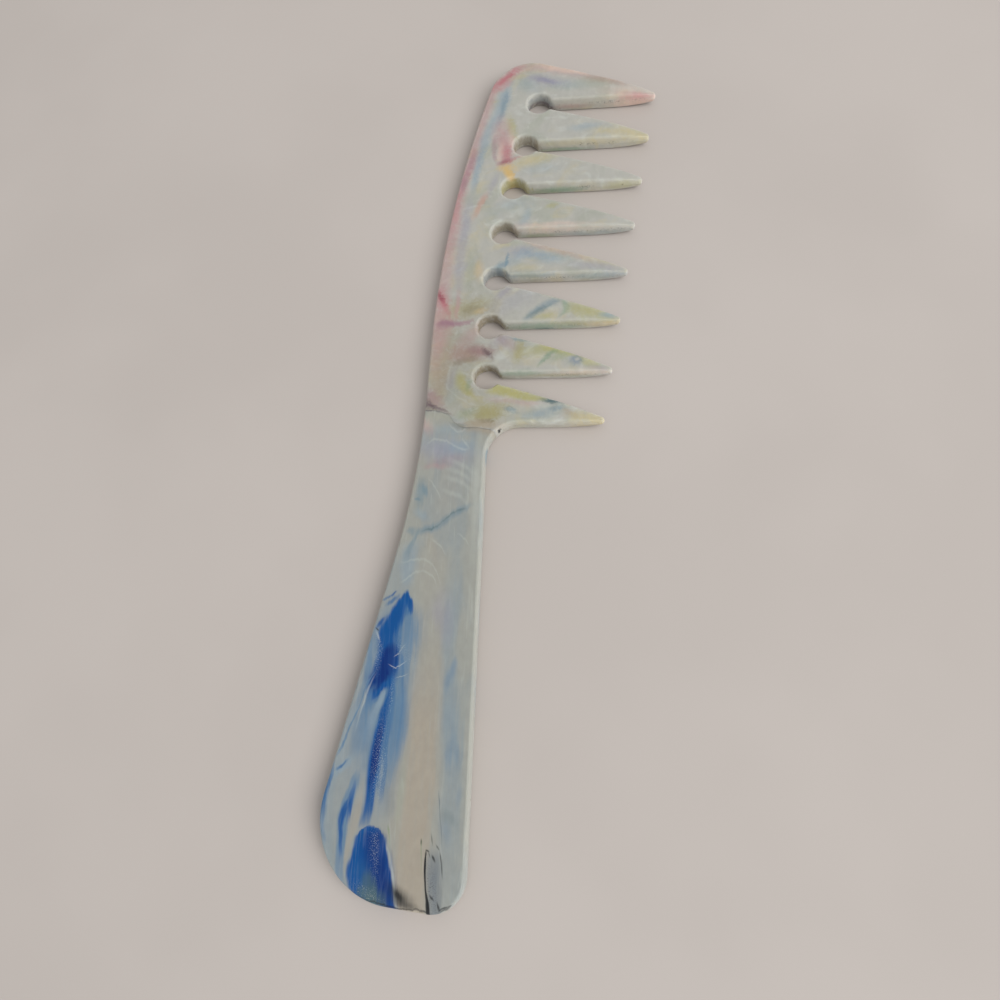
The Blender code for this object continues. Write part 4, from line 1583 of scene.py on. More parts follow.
HANDLE_PLASTIC = Marbling(
    name="handle plastic",
    base=Tint.MILK,
    layers=(
        Cloud(Tint.FROST, (0.20, 0.05, 0.15), (0.48, 0.66), 0.4, 11, 0.6),
        Cloud(Tint.CREAM, (0.25, 0.05, 0.15), (0.54, 0.72), 0.45, 43, 0.6),
        Cloud(Tint.CHALK, (1.1, 0.10, 0.4), (0.55, 0.75), 0.25, 71, 0.8),
        # Broad washes under the streaks.
        strand(
            Tint.WASH, (58, -15, 1, 0), (54, -15.2, 3.6, 0.4), (50, -15.8, 4.6, 0.6), (44, -16.8, 5, 0.5),
            (38, -17.5, 5.5, 0.5), (32, -18, 5.6, 0.55), (26, -18.5, 5.2, 0.45), (20, -18.5, 4.5, 0.25),
            (14, -19, 3.5, 0.15), (6, -20, 3, 0), feather=0.8,
        ),
        strand(
            Tint.SKY, (36, -22.6, 1, 0), (32, -23.6, 1.2, 0.4), (26, -25, 1.2, 0.4), (20, -26.4, 1.2, 0.5),
            (14, -27, 1.2, 0.6), (8, -25.6, 1.2, 0.3), (3, -23, 1.2, 0), feather=0.8,
        ),
        strand(
            Tint.FROST, (70, -4.5, 1.5, 0), (66, -4.5, 1.5, 0.1), (58, -4.8, 1.6, 0.4), (50, -5, 1.4, 0.5),
            (44, -4.8, 1.4, 0.5), (38, -4.4, 1.6, 0.75), (32, -3.8, 1.9, 1), (26, -3.2, 1.8, 0.85),
            (20, -2.8, 1.8, 0.6), (14, -2.9, 1.9, 0.55), (8, -3, 1.6, 0.35), (1, -3, 1.6, 0.2), feather=0.7,
        ),
        strand(
            Tint.CREAM, (-1, -9.4, 3.2, 1), (6, -9.6, 3.2, 1), (14, -9.6, 2.8, 1), (20, -9.3, 2.8, 1),
            (26, -9.1, 2.9, 1), (32, -9, 2.9, 0.95), (38, -9, 2.7, 0.7), (46, -8.6, 2.2, 0.4),
            (54, -8.8, 2.4, 0.25), (62, -9, 3, 0.2), (68, -9, 3, 0), feather=0.5,
        ),
        strand(
            Tint.SAGE, (30, -12.2, 0.4, 0), (22, -12.2, 0.6, 0.4), (17, -12.4, 0.6, 0.5),
            (12, -12.8, 0.5, 0), feather=0.8,
        ),
        strand(
            Tint.LILAC, (59, -6.6, 1.2, 0), (54, -7, 1.8, 0.4), (50, -6, 1.4, 0.35), (45, -5.6, 0.8, 0),
            feather=0.8,
        ),
        strand(
            Tint.SKY, (69, -13, 1, 0), (66, -14, 1.5, 0.45), (62, -14.3, 1.4, 0.5), (59, -14.3, 1, 0.4),
            (57, -14.3, 1, 0), feather=0.8,
        ),
        strand(
            Tint.CREAM, (10, -25.3, 1.4, 0), (16, -25, 1.2, 0.3), (22, -23.9, 1, 0.25), (26, -22.8, 0.7, 0),
            feather=0.9,
        ),
        strand(
            Tint.FROST, (30, -22, 1, 0), (24, -24, 2, 0.5), (16, -25, 2.4, 0.6), (8, -24, 2.2, 0.5),
            (1, -21, 1.5, 0), feather=0.9,
        ),
        strand(
            Tint.CREAM, (3, -21.9, 0.3, 0), (8, -21.6, 0.6, 0.5), (13, -20.9, 0.7, 0.6),
            (18, -20.2, 0.6, 0.4), (22, -19.8, 0.4, 0), feather=0.8,
        ),
        # The flame of blue in the middle of the handle.
        strand(
            Tint.WASH, (57.8, -14.1, 0.3, 0), (57, -14.1, 0.6, 0.8), (55.5, -14.2, 1.3, 0.9),
            (54, -14.3, 2, 0.9), (52, -14.6, 2.7, 0.8), (50, -15, 3.2, 0.75), (47, -15.3, 3.6, 0.7),
            (44, -15.8, 3.6, 0.65), (40, -16.5, 3.6, 0.65), (36, -17, 3.6, 0.55), (32, -16.6, 3.6, 0.5),
            (26, -16.6, 3, 0.45), (20, -16.4, 2, 0.3), (14, -16, 1.6, 0), feather=0.4,
        ),
        strand(
            Tint.AZURE, (57.2, -14.1, 0.2, 0), (56.4, -14, 0.7, 0.7), (55, -14.2, 1.4, 0.85),
            (53.5, -14.6, 1.7, 0.7), (52, -15.6, 1.6, 0.75), (50, -16.7, 1.9, 0.8), (47.5, -16.9, 2, 0.7),
            (44, -16.9, 2, 0.6), (40, -17.2, 2.4, 0.6), (37.5, -18.6, 1.5, 0.6), (35.5, -19.8, 0.9, 0.4),
            (33.5, -20.6, 0.8, 0), feather=0.35,
        ),
        strand(
            Tint.COBALT, (57.3, -14.1, 0.2, 0), (56.7, -14.2, 0.5, 0.9), (55.5, -14.6, 1, 1),
            (54, -15.2, 1.25, 1), (52.5, -15.9, 1.4, 1), (51, -16.6, 1.6, 1), (49.5, -17.2, 1.75, 1),
            (48, -17.4, 1.75, 0.95), (46.5, -17.1, 1.7, 1), (45, -17, 1.8, 1), (43, -17.1, 2.2, 1),
            (41, -17.5, 2.5, 1), (39.5, -17.9, 2.5, 1), (38.2, -18.5, 1.9, 1), (37, -19.3, 1.1, 0.9),
            (36, -19.8, 0.6, 0.5), (35, -20.2, 0.4, 0), feather=0.4, grain=0.7,
        ),
        strand(
            Tint.COBALT, (57.6, -14.1, 0.3, 0), (57, -14, 0.3, 0.6), (56, -13.7, 0.6, 0.95),
            (55, -13.3, 0.7, 0.9), (54, -13, 0.6, 0.75), (53.2, -12.8, 0.4, 0.5), (52.4, -12.8, 0.3, 0),
            feather=0.4, grain=0.7,
        ),
        strand(
            Tint.NAVY, (47.4, -16.3, 0.5, 0), (46, -16.5, 1.1, 0.85), (44.5, -16.7, 1.4, 1),
            (43, -17, 1.6, 1), (41.5, -17.4, 1.8, 1), (40.3, -17.9, 1.9, 1), (39.3, -18.6, 1.2, 0.9),
            (38.3, -19.2, 0.8, 0.6), (37, -19.6, 0.4, 0), grain=0.7,
        ),
        # The strands that it splits into, down to the handle's end.
        strand(
            Tint.SKY, (38.6, -17, 0.3, 0), (37.6, -17.3, 0.6, 0.8), (35.5, -18, 0.6, 0.8),
            (33.5, -18.9, 0.7, 0.6), (31, -19.6, 0.8, 0.4), (28, -20.3, 0.8, 0), feather=0.5,
        ),
        strand(
            Tint.AZURE, (41, -16.4, 0.6, 0), (39.5, -16, 0.8, 0.5), (37, -16, 0.9, 0.7),
            (34, -16.6, 1.2, 0.7), (30, -17.2, 1.5, 0.75), (25, -17.7, 1.4, 0.75), (20, -18.1, 1.1, 0.75),
            (16, -18.4, 1, 0.7), (14.2, -18.8, 1, 0.5), (12.8, -19, 1, 0), feather=0.4,
        ),
        strand(
            Tint.COBALT, (40.8, -16.4, 0.5, 0), (39.5, -15.9, 0.5, 0.9), (38, -15.7, 0.55, 0.9),
            (36.5, -16, 0.6, 0.85), (35, -16.6, 0.7, 0.9), (33.5, -17, 0.8, 0.95), (32, -17.1, 0.9, 0.95),
            (30, -17.4, 1.1, 1), (28, -17.6, 1.15, 1), (26, -17.8, 1.1, 1), (24, -17.9, 1.05, 1),
            (22, -18, 0.9, 1), (20, -18.1, 0.85, 0.95), (18, -18.2, 0.75, 0.85), (16, -18.4, 0.7, 0.55),
            (14.5, -18.6, 0.7, 0), feather=0.3, grain=0.7,
        ),
        strand(
            Tint.NAVY, (34, -17.1, 0.3, 0), (31, -17.2, 0.55, 0.6), (28, -17.6, 0.75, 0.85),
            (25, -17.8, 0.75, 0.95), (23, -17.9, 0.6, 0.9), (21, -18.1, 0.5, 0.6), (18.5, -18.2, 0.4, 0),
            feather=0.4, grain=0.8,
        ),
        strand(
            Tint.AZURE, (41.8, -15.8, 0.3, 0), (40.5, -15.7, 0.3, 0.5), (38, -15.4, 0.45, 0.8),
            (35, -15.4, 0.45, 0.75), (32, -15.5, 0.5, 0.8), (29, -15.8, 0.5, 0.8), (26, -15.8, 0.4, 0.7),
            (23, -15.7, 0.35, 0.55), (20.5, -16, 0.45, 0.5), (19, -16, 0.45, 0.3), (17.3, -16, 0.4, 0),
            feather=0.5,
        ),
        strand(
            Tint.AZURE, (46.5, -14.5, 0.15, 0), (44, -14.1, 0.3, 0.45), (42, -13.8, 0.2, 0.4),
            (38, -13.6, 0.2, 0.5), (34, -13.5, 0.3, 0.5), (31, -13.6, 0.35, 0.4), (28, -13.9, 0.35, 0.2),
            (24, -14, 0.3, 0), feather=0.8, grain=0.8,
        ),
        strand(
            Tint.WASH, (46, -13.4, 0.5, 0), (40, -13.9, 1.2, 0.5), (34, -14.1, 1.5, 0.85),
            (29, -14.3, 1.5, 0.8), (25, -14.6, 1.3, 0.5), (20, -14.8, 1, 0), feather=0.8,
        ),
        strand(
            Tint.SLATE, (22, -14, 0.6, 0), (19, -14.6, 0.8, 0.35), (16.5, -14.2, 0.8, 0.3),
            (14, -14, 0.6, 0), feather=0.9,
        ),
        strand(
            Tint.WASH, (39.4, -19.1, 0.4, 0), (38, -19.6, 0.4, 0.5), (35, -20.3, 0.6, 0.7),
            (33, -20.8, 0.9, 0.6), (30, -21.2, 1.2, 0.5), (27, -21.6, 1.2, 0.35), (25, -22, 1, 0),
        ),
        strand(
            Tint.WASH, (52, -19.2, 0.3, 0), (50, -19.6, 0.3, 0.3), (47, -20.2, 0.6, 0.6),
            (43, -20.3, 0.6, 0.7), (40, -20.8, 0.5, 0.5), (37, -21.6, 0.5, 0.4), (33, -23, 0.5, 0),
        ),
        strand(
            Tint.WASH, (42.5, -18.7, 0.1, 0), (40, -20, 0.14, 0.7), (38, -20.8, 0.14, 0.8),
            (36, -21.4, 0.14, 0.7), (34, -22, 0.16, 0.8), (32, -22.8, 0.16, 0.8), (30, -23.5, 0.2, 0.8),
            (28.5, -24, 0.25, 0.9), (27, -24.6, 0.2, 0.7), (25, -25.4, 0.2, 0), feather=0.5, grain=0.4,
        ),
        strand(
            Tint.CHALK, (41.5, -19, 0.1, 0), (39, -19.9, 0.16, 0.4), (37, -20.6, 0.16, 0.4),
            (35, -21.1, 0.14, 0.3), (32, -21.8, 0.12, 0.2), (29, -22.3, 0.1, 0), feather=0.8, grain=0.5,
        ),
        Dab(Tint.SKY, (-25.2, 22.5), (-22.8, 25.2), 1.3, 0.7),
        Dab(Tint.AZURE, (-24.9, 23.3), (-23.6, 24.6), 0.5, 0.75),
        strand(
            Tint.AZURE, (25, -25.5, 0.2, 0), (22, -26, 0.35, 0.6), (20, -26.6, 0.4, 0.75),
            (18, -27, 0.4, 0.8), (16, -27.1, 0.5, 0.6), (14, -27, 0.4, 0.4), (12, -26.6, 0.4, 0.35),
            (10.3, -26.2, 0.4, 0), feather=0.7, grain=1.6,
        ),
        # The strand beside the rim, on the left.
        strand(
            Tint.WASH, (24, -20.9, 0.3, 0), (22, -21.2, 0.8, 0.6), (20, -21.6, 1, 0.75),
            (18, -22.2, 1.1, 0.8), (16, -22.7, 1.1, 0.85), (14, -23, 1, 0.85), (12, -23, 0.85, 0.85),
            (10, -23.1, 0.8, 0.8), (8, -23.1, 0.8, 0.65), (6, -22.9, 0.85, 0.6), (4.5, -22.5, 0.9, 0.5),
            (2, -22, 0.9, 0.3), feather=0.35,
        ),
        strand(
            Tint.COBALT, (22, -21.2, 0.25, 0), (20, -21.4, 0.4, 0.5), (18, -22, 0.55, 0.75),
            (16.5, -22.7, 0.65, 0.85), (15, -23.2, 0.6, 0.9), (13.5, -23.3, 0.45, 0.9),
            (12, -23.1, 0.35, 0.8), (10.5, -23.1, 0.3, 0.65), (9, -23, 0.3, 0.35), (7, -23, 0.3, 0),
            feather=0.5, grain=0.8,
        ),
        strand(
            Tint.COBALT, (19, -21.5, 0.2, 0), (17.5, -21.7, 0.35, 0.7), (15.5, -21.9, 0.35, 0.7),
            (13.3, -22, 0.25, 0), feather=0.5,
        ),
        # The blot at the end.
        strand(
            Tint.FROST, (14.4, -17.5, 1.4, 0), (12, -17.6, 3, 0.7), (9, -17.5, 3.8, 0.7),
            (6, -17.4, 4.5, 0.7), (3, -16.6, 4.4, 0.7), (-1, -15, 4, 0.7), feather=0.15, grain=0.3,
        ),
        strand(
            Tint.COBALT, (14, -17.5, 0.4, 0), (13.6, -17.5, 1.1, 0.9), (13, -17.5, 1.8, 1),
            (12, -17.55, 2.65, 1), (10, -17.4, 3.2, 1), (8.5, -17.4, 3.6, 1), (7, -17.4, 4, 1),
            (5, -17.1, 4.1, 1), (3, -16.5, 3.9, 1), (1, -15.6, 3.5, 1), (-1, -14.6, 3, 1), feather=0.1,
            grain=0.25,
        ),
        strand(
            Tint.NAVY, (14, -16.8, 0.6, 0), (12.4, -16.8, 1.6, 0.7), (10, -16.4, 2, 0.8),
            (7, -15.8, 2.4, 0.85), (4, -15.2, 2.4, 0.9), (1, -14.4, 2.2, 0.8), (-1, -14, 2, 0.6),
            feather=0.7, grain=0.7,
        ),
        strand(
            Tint.AZURE, (9, -18.5, 1, 0), (7, -18.8, 1.3, 0.35), (5, -18.4, 1.6, 0.4), (3, -18, 1.6, 0.2),
            feather=0.9,
        ),
        strand(
            Tint.TEAL, (7, -17.5, 0.6, 0), (5.5, -17.3, 1, 0.5), (4, -17.2, 1.5, 0.7),
            (2.8, -17, 2.2, 0.85), (1.4, -16.4, 2.2, 0.9), (0, -16, 2, 0.9), grain=1.5,
        ),
        Dab(Tint.INK, (-18.4, 2.9), (-15.2, 1.2), 1.6, 0.6, 0.5, 1.5, speckled=True),
        scuff((-18.8, 3.6), (-15.8, 1.8), 1.8, 0.5),
        Dab(Tint.SKY, (-17, 13.2), (-16, 5), 1.7, 0.6, 0.8, 1.5, speckled=True),
        scuff((-16.7, 12.5), (-16.2, 8), 1, 0.4),
        Dab(Tint.SKY, (-17.3, 31), (-17.2, 20), 2.6, 0.6, 0.8, 1.5, speckled=True),
        scuff((-16.9, 31), (-16.7, 21), 2, 0.45),
        strand(
            Tint.CHALK, (12.5, -14.9, 0.1, 0), (10, -14.1, 0.2, 0.3), (7, -13.3, 0.25, 0.5),
            (4, -12.5, 0.25, 0.55), (1.5, -12, 0.25, 0.5), (0, -11.7, 0.2, 0), feather=0.8, grain=0.4,
        ),
        strand(
            Tint.MOSS, (14.3, -14.4, 0.1, 0), (13.3, -14.2, 0.2, 0.7), (12.4, -14, 0.14, 0.5),
            (11, -13.8, 0.1, 0.3), (9.5, -13.7, 0.1, 0), feather=0.5, grain=0.3,
        ),
        # Soot-black marks beside the cream, and a painted shadow along the rim of the handle's end.
        Dab(Tint.INK, (-12.1, 3.2), (-10.4, 1.8), 2.2, 0.8, 0.9, 0.6),
        Dab(Tint.INK, (-12.1, 3.3), (-11.1, 2.4), 1, 0.8, 0.8, 0.6),
        Dab(Tint.INK, (-11.4, 1.6), (-8.5, 0.7), 0.9, 0.4, 0.9, 0.6),
        # Painted shadow line along the rim of the handle's end, with some soot.
        strand(
            Tint.INK, (-21.5, 4.2, 0.1, 0), (-20, 2.7, 0.12, 0.3), (-18, 1.9, 0.14, 0.45),
            (-16, 1.3, 0.15, 0.6), (-14, 0.95, 0.16, 0.7), (-12, 0.75, 0.16, 0.75), (-10, 0.5, 0.15, 0.6),
            (-8, 0.35, 0.15, 0.6), (-6, 0.2, 0.2, 0.8), (-4.6, 0.25, 0.25, 0.85), (-3.6, 0.6, 0.2, 0.7),
            (-2.6, 1.2, 0.2, 0.7), (-1.8, 1.8, 0.1, 0), feather=0.9, grain=0.6, along=Along.TEETH,
        ),
        strand(
            Tint.SLATE, (11.4, -5.9, 0.5, 0), (9.5, -5.7, 1, 0.6), (7, -5.5, 1.3, 0.95),
            (5, -5.4, 1.3, 0.95), (3, -5.2, 1.3, 0.9), (0, -5.1, 1.2, 0.8), grain=1.4,
        ),
        strand(
            Tint.INK, (10, -7, 0.1, 0), (9.2, -7.15, 0.13, 0.95), (8, -7.15, 0.2, 1), (6.5, -7.1, 0.2, 1),
            (5, -7, 0.18, 0.95), (3.5, -6.8, 0.18, 0.95), (2.2, -6.5, 0.26, 1), (1, -6.3, 0.34, 1),
            (-0.5, -6.1, 0.3, 0.9), feather=0.4, grain=0.5,
        ),
        soot((-7.15, 9.3), (-7.1, 10.1), 0.3, 0.8),
        soot((-7, 10.3), (-6.6, 10.1), 0.25, 0.8),
        soot((-6.55, 9.9), (-6.2, 9.2), 0.2, 0.6),
        soot((-5.8, 9.5), (-5.5, 8.9), 0.35, 0.9),
        soot((-6.25, 12.9), (-5.95, 11.3), 0.24, 0.6),
        soot((-5.3, 11.3), (-4.9, 10.7), 0.22, 0.5),
        soot((-4.6, 10.1), (-4.3, 8.2), 0.2, 0.65),
        soot((-4.35, 8.3), (-4, 6.2), 0.18, 0.6),
        soot((-5.9, 3), (-5.4, 2.5), 0.4, 0.9),
        soot((-4.6, 1.9), (-4.3, 0.9), 0.35, 0.9),
        Dab(Tint.INK, (-6.2, 6.5), (-5.2, 1.5), 2, 0.5, 0.8, 1.5, speckled=True),
        soot((-4.2, 0.7), (-2.6, 1.5), 0.35, 0.8),
        soot((-8.15, 12), (-8.05, 11.1), 0.22, 0.9),
        strand(
            Tint.MOSS, (12.4, -8.1, 0.07, 0), (11, -8.05, 0.07, 0.7), (9, -7.9, 0.07, 0.5),
            (7, -7.85, 0.06, 0.35), (5, -7.85, 0.05, 0), feather=0.5, grain=0.2,
        ),
        strand(
            Tint.SLATE, (21, -5.5, 0.07, 0), (19, -5.2, 0.1, 0.9), (17, -4.95, 0.08, 0.7),
            (15, -4.65, 0.08, 0.9), (13, -4.4, 0.08, 0.8), (11, -4.3, 0.08, 0.3), (9.5, -4.2, 0.08, 0),
            feather=0.5, grain=0.2,
        ),
        # The cooler side, on the right.
        strand(
            Tint.WASH, (32, -3.1, 0.3, 0), (28, -3.7, 0.6, 0.3), (26, -4, 0.6, 0.3), (23.5, -4.1, 0.4, 0),
            feather=0.9,
        ),
        strand(
            Tint.WASH, (31, -2.9, 0.3, 0), (28, -2.4, 0.5, 0.25), (26, -2.1, 0.5, 0.25),
            (23.5, -1.8, 0.3, 0), feather=0.9,
        ),
        Dab(Tint.WASH, (-1.3, 20.8), (-1.5, 18.8), 1, 0.2, 0.9),
        Dab(Tint.TEAL, (-3.8, 16.4), (-2.6, 15.2), 1.6, 0.2, 0.9),
        Dab(Tint.WASH, (-4.2, 14.6), (-3.4, 12.6), 1.6, 0.2, 0.9),
        strand(
            Tint.WASH, (45.4, -3.7, 0.15, 0), (44, -3.75, 0.4, 0.4), (42.5, -4.1, 0.6, 0.45),
            (41, -4.6, 0.7, 0.45), (39, -4.9, 0.6, 0.3), (36.6, -5, 0.4, 0), feather=0.9,
        ),
        Dab(Tint.AZURE, (-19, 55.2), (-17.3, 55.9), 0.5, 0.6),
        Dab(Tint.COBALT, (-17.2, 56.1), (-16.4, 56.8), 0.35, 0.75),
        Dab(Tint.AZURE, (-17.6, 54.5), (-16.1, 55.8), 0.7, 0.7),
        Dab(Tint.COBALT, (-19.5, 49.9), (-18.4, 51.5), 0.6, 0.85),
        soot((-19.7, 49.5), (-19.3, 49.2), 0.25, 0.8),
        # Scuffs across the blue.
        Dab(Tint.CHALK, (-19.5, 48.7), (-19, 47.6), 0.35, 0.5, 0.6, 1.5),
        scuff((-19.2, 47.6), (-18.3, 45.8), 0.9, 0.5),
        scuff((-18.9, 45.8), (-18.9, 42), 1.1, 0.45),
        scratch((-16.4, 42.8), (-15.2, 42.2), 0.6),
        scratch((-15.3, 42.2), (-13.5, 43.3), 0.5),
        scratch((-15.5, 44.5), (-14.7, 45), 0.45),
        scratch((-14.8, 45.1), (-13.8, 46.5), 0.4),
        scratch((-14.8, 40.3), (-13, 40.9), 0.4),
        scuff((-15.5, 39.6), (-15.9, 34), 0.7, 0.5),
        scuff((-14.6, 46.6), (-12.4, 43.4), 1.8, 0.3),
        # Pale flow lines above the flame.
        flow_line(
            (-16, 58.4), (-14.5, 59.6), (-13.4, 60.6), (-12, 61.1), (-10, 60.8), (-8.6, 59.6), (-8, 57.8),
        ),
        flow_line(
            (-16.4, 62.8), (-14, 63.4), (-12, 63.6), (-10.4, 63.3), (-9, 62.2), (-8, 60.6), (-7.3, 58.6),
        ),
        flow_line((-11, 68.4), (-9, 67.4), (-7.5, 66), (-6.4, 64.3)),
        flow_line((-5, 69), (-3.7, 68.4), (-2.7, 67.4), (-1.8, 66)),
        # The neck.
        Dab(Tint.CREAM, (-7, 82), (-8, 73), 5, 0.25, 0.9),
        Dab(Tint.CHALK, (-1.2, 88), (-1.2, 68), 1.4, 0.3, 0.9),
        Dab(Tint.CREAM, (-10.5, 68.5), (-8.5, 64), 2.4, 0.35, 0.9),
        Dab(Tint.STRAW, (-12.5, 95.2), (-8, 94.6), 1.8, 0.12, 0.9),
        Dab(Tint.SKY, (-11, 91.4), (-4.5, 91.2), 2.4, 0.45, 0.9),
        Dab(Tint.SKY, (-12, 88.6), (-4, 87.4), 3.4, 0.4, 0.9),
        Dab(Tint.LILAC, (-11.6, 87.4), (-5.6, 86), 4.4, 0.6, 0.9),
        Dab(Tint.SKY, (-6.5, 87.4), (-4, 88), 2.4, 0.5, 0.8),
        Dab(Tint.MAUVE, (-10.8, 84), (-6, 85), 1.8, 0.25, 0.9),
        Dab(Tint.ROSE, (-11.4, 83.6), (-8, 83.6), 1, 0.35, 0.9),
        Dab(Tint.PEACH, (-13.2, 93.8), (-12, 92.6), 2, 0.3, 0.9),
        Dab(Tint.ROSE, (-13.2, 93), (-12.2, 91.8), 2, 0.35, 0.9),
        Dab(Tint.SAND, (-4.4, 92.2), (1.8, 91.4), 1.9, 0.7, 0.9),
        Dab(Tint.STEEL, (-12.6, 79.5), (-12.8, 75.4), 1.9, 0.5, 0.7, 1.5),
        Dab(Tint.STEEL, (-12.1, 78.8), (-11.7, 77.4), 0.9, 0.5, 0.7, 1.5),
        Dab(Tint.STEEL, (-13.6, 76.3), (-13, 76), 0.5, 0.7, 0.7),
        Dab(Tint.SKY, (-13, 73.4), (-12, 72.6), 1.6, 0.5, 0.8),
        strand(
            Tint.STEEL, (-15.6, 69.6, 0.3, 0), (-14.6, 69.7, 0.6, 0.45), (-13.4, 69.4, 0.8, 0.45),
            (-12, 69.5, 0.7, 0.5), (-10, 70.3, 0.75, 0.55), (-8, 71.3, 0.9, 0.5), (-6, 72.7, 0.85, 0.5),
            (-4, 74.1, 0.7, 0.5), (-2.6, 75, 0.5, 0.3), (-1.2, 75.2, 0.3, 0), feather=0.9,
            along=Along.TEETH,
        ),
        strand(
            Tint.TEAL, (-12.4, 69.3, 0.1, 0), (-11, 69.7, 0.2, 0.35), (-9.7, 70.4, 0.25, 0.5),
            (-8.4, 71.2, 0.2, 0.25), (-7, 72.3, 0.2, 0.35), (-6, 73.1, 0.25, 0.5), (-5, 73.7, 0.2, 0.3),
            (-4, 74.2, 0.25, 0.45), (-3, 74.6, 0.1, 0), feather=0.8, grain=0.8, along=Along.TEETH,
        ),
        strand(
            Tint.STEEL, (70, -12.8, 0.2, 0), (68.6, -13.1, 0.35, 0.45), (67.6, -13.6, 0.4, 0.5),
            (66.6, -14.1, 0.5, 0.45), (65, -14.6, 0.6, 0.35), (62.5, -14.9, 0.6, 0), feather=0.7,
        ),
        *(
            flow_line(
                (-9 + step, 83.6 + low), (-6.5 + step, 82.8 + low),
                (-3.5 + step, 81.2 + low), (-1 + step, 79.4 + low),
                strength=0.16, half=0.45,
            )
            for step, low in ((0, 0), (0.5, 1.7), (0.2, -2), (-0.8, -4.6))
        ),
        flow_line((-11.6, 81), (-10.6, 80), (-9.8, 78.7), (-9, 77.5), (-8.3, 76.4)),
        flow_line(
            (-12.6, 88.5), (-11.3, 89.3), (-10, 89.6), (-8.5, 89.1), (-7, 88.3), (-5.5, 87.6), (-4, 87.3),
            (-2.8, 87.3),
        ),
        flow_line((-8.1, 93), (-7.2, 92), (-6.4, 91.4), (-5.4, 91.1), (-4.5, 91.4), (-3.6, 91.9)),
        flow_line((-4.8, 89.9), (-4.2, 89), (-3.6, 88.2), (-3.1, 87.2), along=Along.COMB),
        Dab(Tint.STEEL, (0.1, 87.6), (0.3, 84.8), 0.8, 0.7, 0.5, depth=(1.4, 1.8)),
        strand(
            Tint.PLUM, (-13.6, 96.4, 0.25, 0.6), (-12, 96.3, 0.25, 0.6), (-10.6, 96.1, 0.2, 0.5),
            (-9, 95.5, 0.2, 0.45), (-7.8, 95.2, 0.2, 0.3), (-6.8, 94.6, 0.15, 0), feather=0.8, grain=0.8,
            along=Along.TEETH,
        ),
        Dab(Tint.SAGE, (-8.4, 94.6), (-6.4, 93.4), 1.4, 0.4, 0.9),
        strand(
            Tint.TEAL, (-8, 93.2, 0.2, 0), (-6.8, 92.6, 0.35, 0.2), (-5.2, 92.1, 0.35, 0.25),
            (-3.6, 91.9, 0.3, 0.2), (-2, 91.9, 0.2, 0), feather=0.9, along=Along.TEETH,
        ),
    ),
    fibre=(1.6, 0.12, 0.5),
    fibre_twist=0.5,
    sway=(1.0, 1.6, 0),
    sway_grain=(0.25, 0.08, 0.2),
    fray=(0.3, 0.8, 0),
)


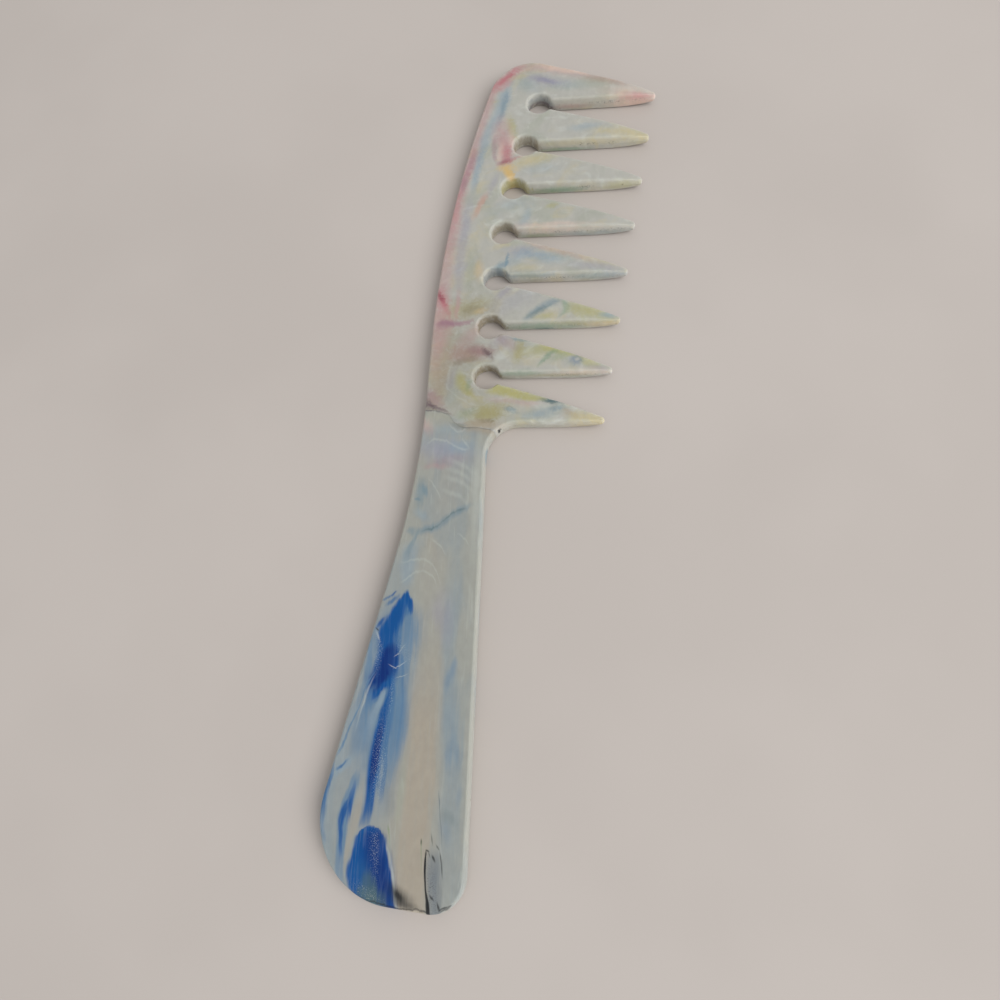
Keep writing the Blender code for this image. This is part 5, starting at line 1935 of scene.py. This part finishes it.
@dataclass(frozen=True)
class Studio:
    """Plain pale floor, soft lamp and the camera, placed about the comb's plan origin."""

    shift: Vector
    camera_place: Triple = (22.074, 32.472, 148.9)
    turn: float = math.radians(22.715)
    tilt: float = math.radians(18.1)
    roll: float = math.radians(21.5)
    lens: float = 27.0
    sensor: float = 36.0
    nearest: float = 10.0
    floor_side: float = 3000.0
    floor_drop: float = 0.01
    floor_tint: tuple[int, int, int] = (187, 179, 173)
    floor_mottle: int = 4
    floor_grain: Triple = (14, 14, 14)
    floor_cut: Place = (0.35, 0.65)
    floor_roughness: float = 0.75
    sky: float = 0.62
    window_place: Triple = (1400.0, -470.0, 1560.0)
    window_size: float = 1600.0
    window_power: float = 35.5

    def floor(self) -> bpy.types.Object:
        """Lays the floor that the comb rests on.

        Returns:
            The floor.
        """
        bpy.ops.object.select_all(action="DESELECT")
        bpy.ops.mesh.primitive_plane_add(size=self.floor_side * MM, location=(0, 0, -self.floor_drop * MM))
        floor = bpy.context.object
        floor.name = "floor"
        bpy.ops.object.transform_apply(location=True, rotation=False, scale=False)
        paint = bpy.data.materials.new("floor paint")
        paint.use_nodes = True
        bench = Bench(paint.node_tree)
        place = bench.wire("ShaderNodeTexCoord", {}, {}, "Object")
        mottle = bench.ease(bench.noise(place, self.floor_grain, detail=3), self.floor_cut)
        pale = tuple(linear(byte) for byte in self.floor_tint)
        dull = tuple(linear(byte - self.floor_mottle) for byte in self.floor_tint)
        colour = bench.mix(mottle, (*pale, 1.0), (*dull, 1.0))
        sockets = {"Base Color": colour, "Roughness": self.floor_roughness}
        shader = bench.wire("ShaderNodeBsdfPrincipled", {}, sockets)
        bench.add("ShaderNodeOutputMaterial", {}, {"Surface": shader})
        floor.data.materials.append(paint)
        return floor

    def lamp(self, name: str, place: Triple, size: float, power: float) -> None:
        """Hangs a soft square lamp that faces the comb.

        Args:
            name: Name of the lamp.
            place: Where it hangs, in plan millimetres.
            size: Its side, in millimetres.
            power: Its power, in watts.
        """
        hung = Vector(place) * MM + self.shift
        turned = (-hung).to_track_quat("-Z", "Y").to_euler()
        bpy.ops.object.light_add(type="AREA", location=hung, rotation=turned)
        lamp = bpy.context.object
        lamp.name = name
        lamp.data.shape = "SQUARE"
        lamp.data.size = size * MM
        lamp.data.energy = power

    def light(self) -> None:
        """Hangs the soft lamp and sets the even light of the room."""
        self.lamp("window_light", self.window_place, self.window_size, self.window_power)
        world = bpy.data.worlds.new("room")
        world.use_nodes = True
        background = world.node_tree.nodes["Background"]
        background.inputs["Color"].default_value = (1.0, 1.0, 1.0, 1.0)
        background.inputs["Strength"].default_value = self.sky
        bpy.context.scene.world = world

    def camera(self) -> None:
        """Sets the camera where the photograph was taken from."""
        right = Vector((*heading(self.turn), 0))
        back = Vector((*left_of(heading(self.turn)), 0))
        aim = math.sin(self.tilt) * back - math.cos(self.tilt) * Vector((0, 0, 1))
        top = math.cos(self.tilt) * back + math.sin(self.tilt) * Vector((0, 0, 1))
        across = math.cos(self.roll) * right - math.sin(self.roll) * top
        upward = math.sin(self.roll) * right + math.cos(self.roll) * top
        axes = Matrix((across, upward, -aim)).transposed()
        place = Vector(self.camera_place) * MM + self.shift
        bpy.ops.object.camera_add(location=place, rotation=axes.to_euler())
        camera = bpy.context.object
        camera.name = "camera"
        camera.data.sensor_width = self.sensor
        camera.data.lens = self.lens
        camera.data.clip_start = self.nearest * MM
        bpy.context.scene.camera = camera
        bpy.context.scene.view_settings.view_transform = "Standard"


def main() -> None:
    """Builds the comb over its frame, with its plastics, floor, light and camera."""
    logging.basicConfig(level=logging.INFO, format="%(name)s: %(message)s")
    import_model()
    frame_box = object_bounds()
    plan = CombPlan()
    reach = plan.tip_x(plan.teeth - 1) + MarbledComb.bulge
    shift = Vector((frame_box[1][0] - reach * MM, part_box("handle")[0][1] - plan.lowest_y * MM, 0))
    comb = MarbledComb(plan, shift)
    for piece, node, slot, finish in (
        (comb.toothed_head(), "toothed_head", "head_plastic", HEAD_PLASTIC),
        (comb.handle(), "handle", "handle_plastic", HANDLE_PLASTIC),
    ):
        piece.data.materials.append(finish.material(shift))
        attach(piece, "root")
        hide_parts(node)
        LOG.info("%s stands for %s: %d faces", piece.name, node, len(piece.data.polygons))
    studio = Studio(shift)
    studio.floor()
    studio.light()
    studio.camera()
    LOG.info("sizes written")


if __name__ == "__main__":
    main()
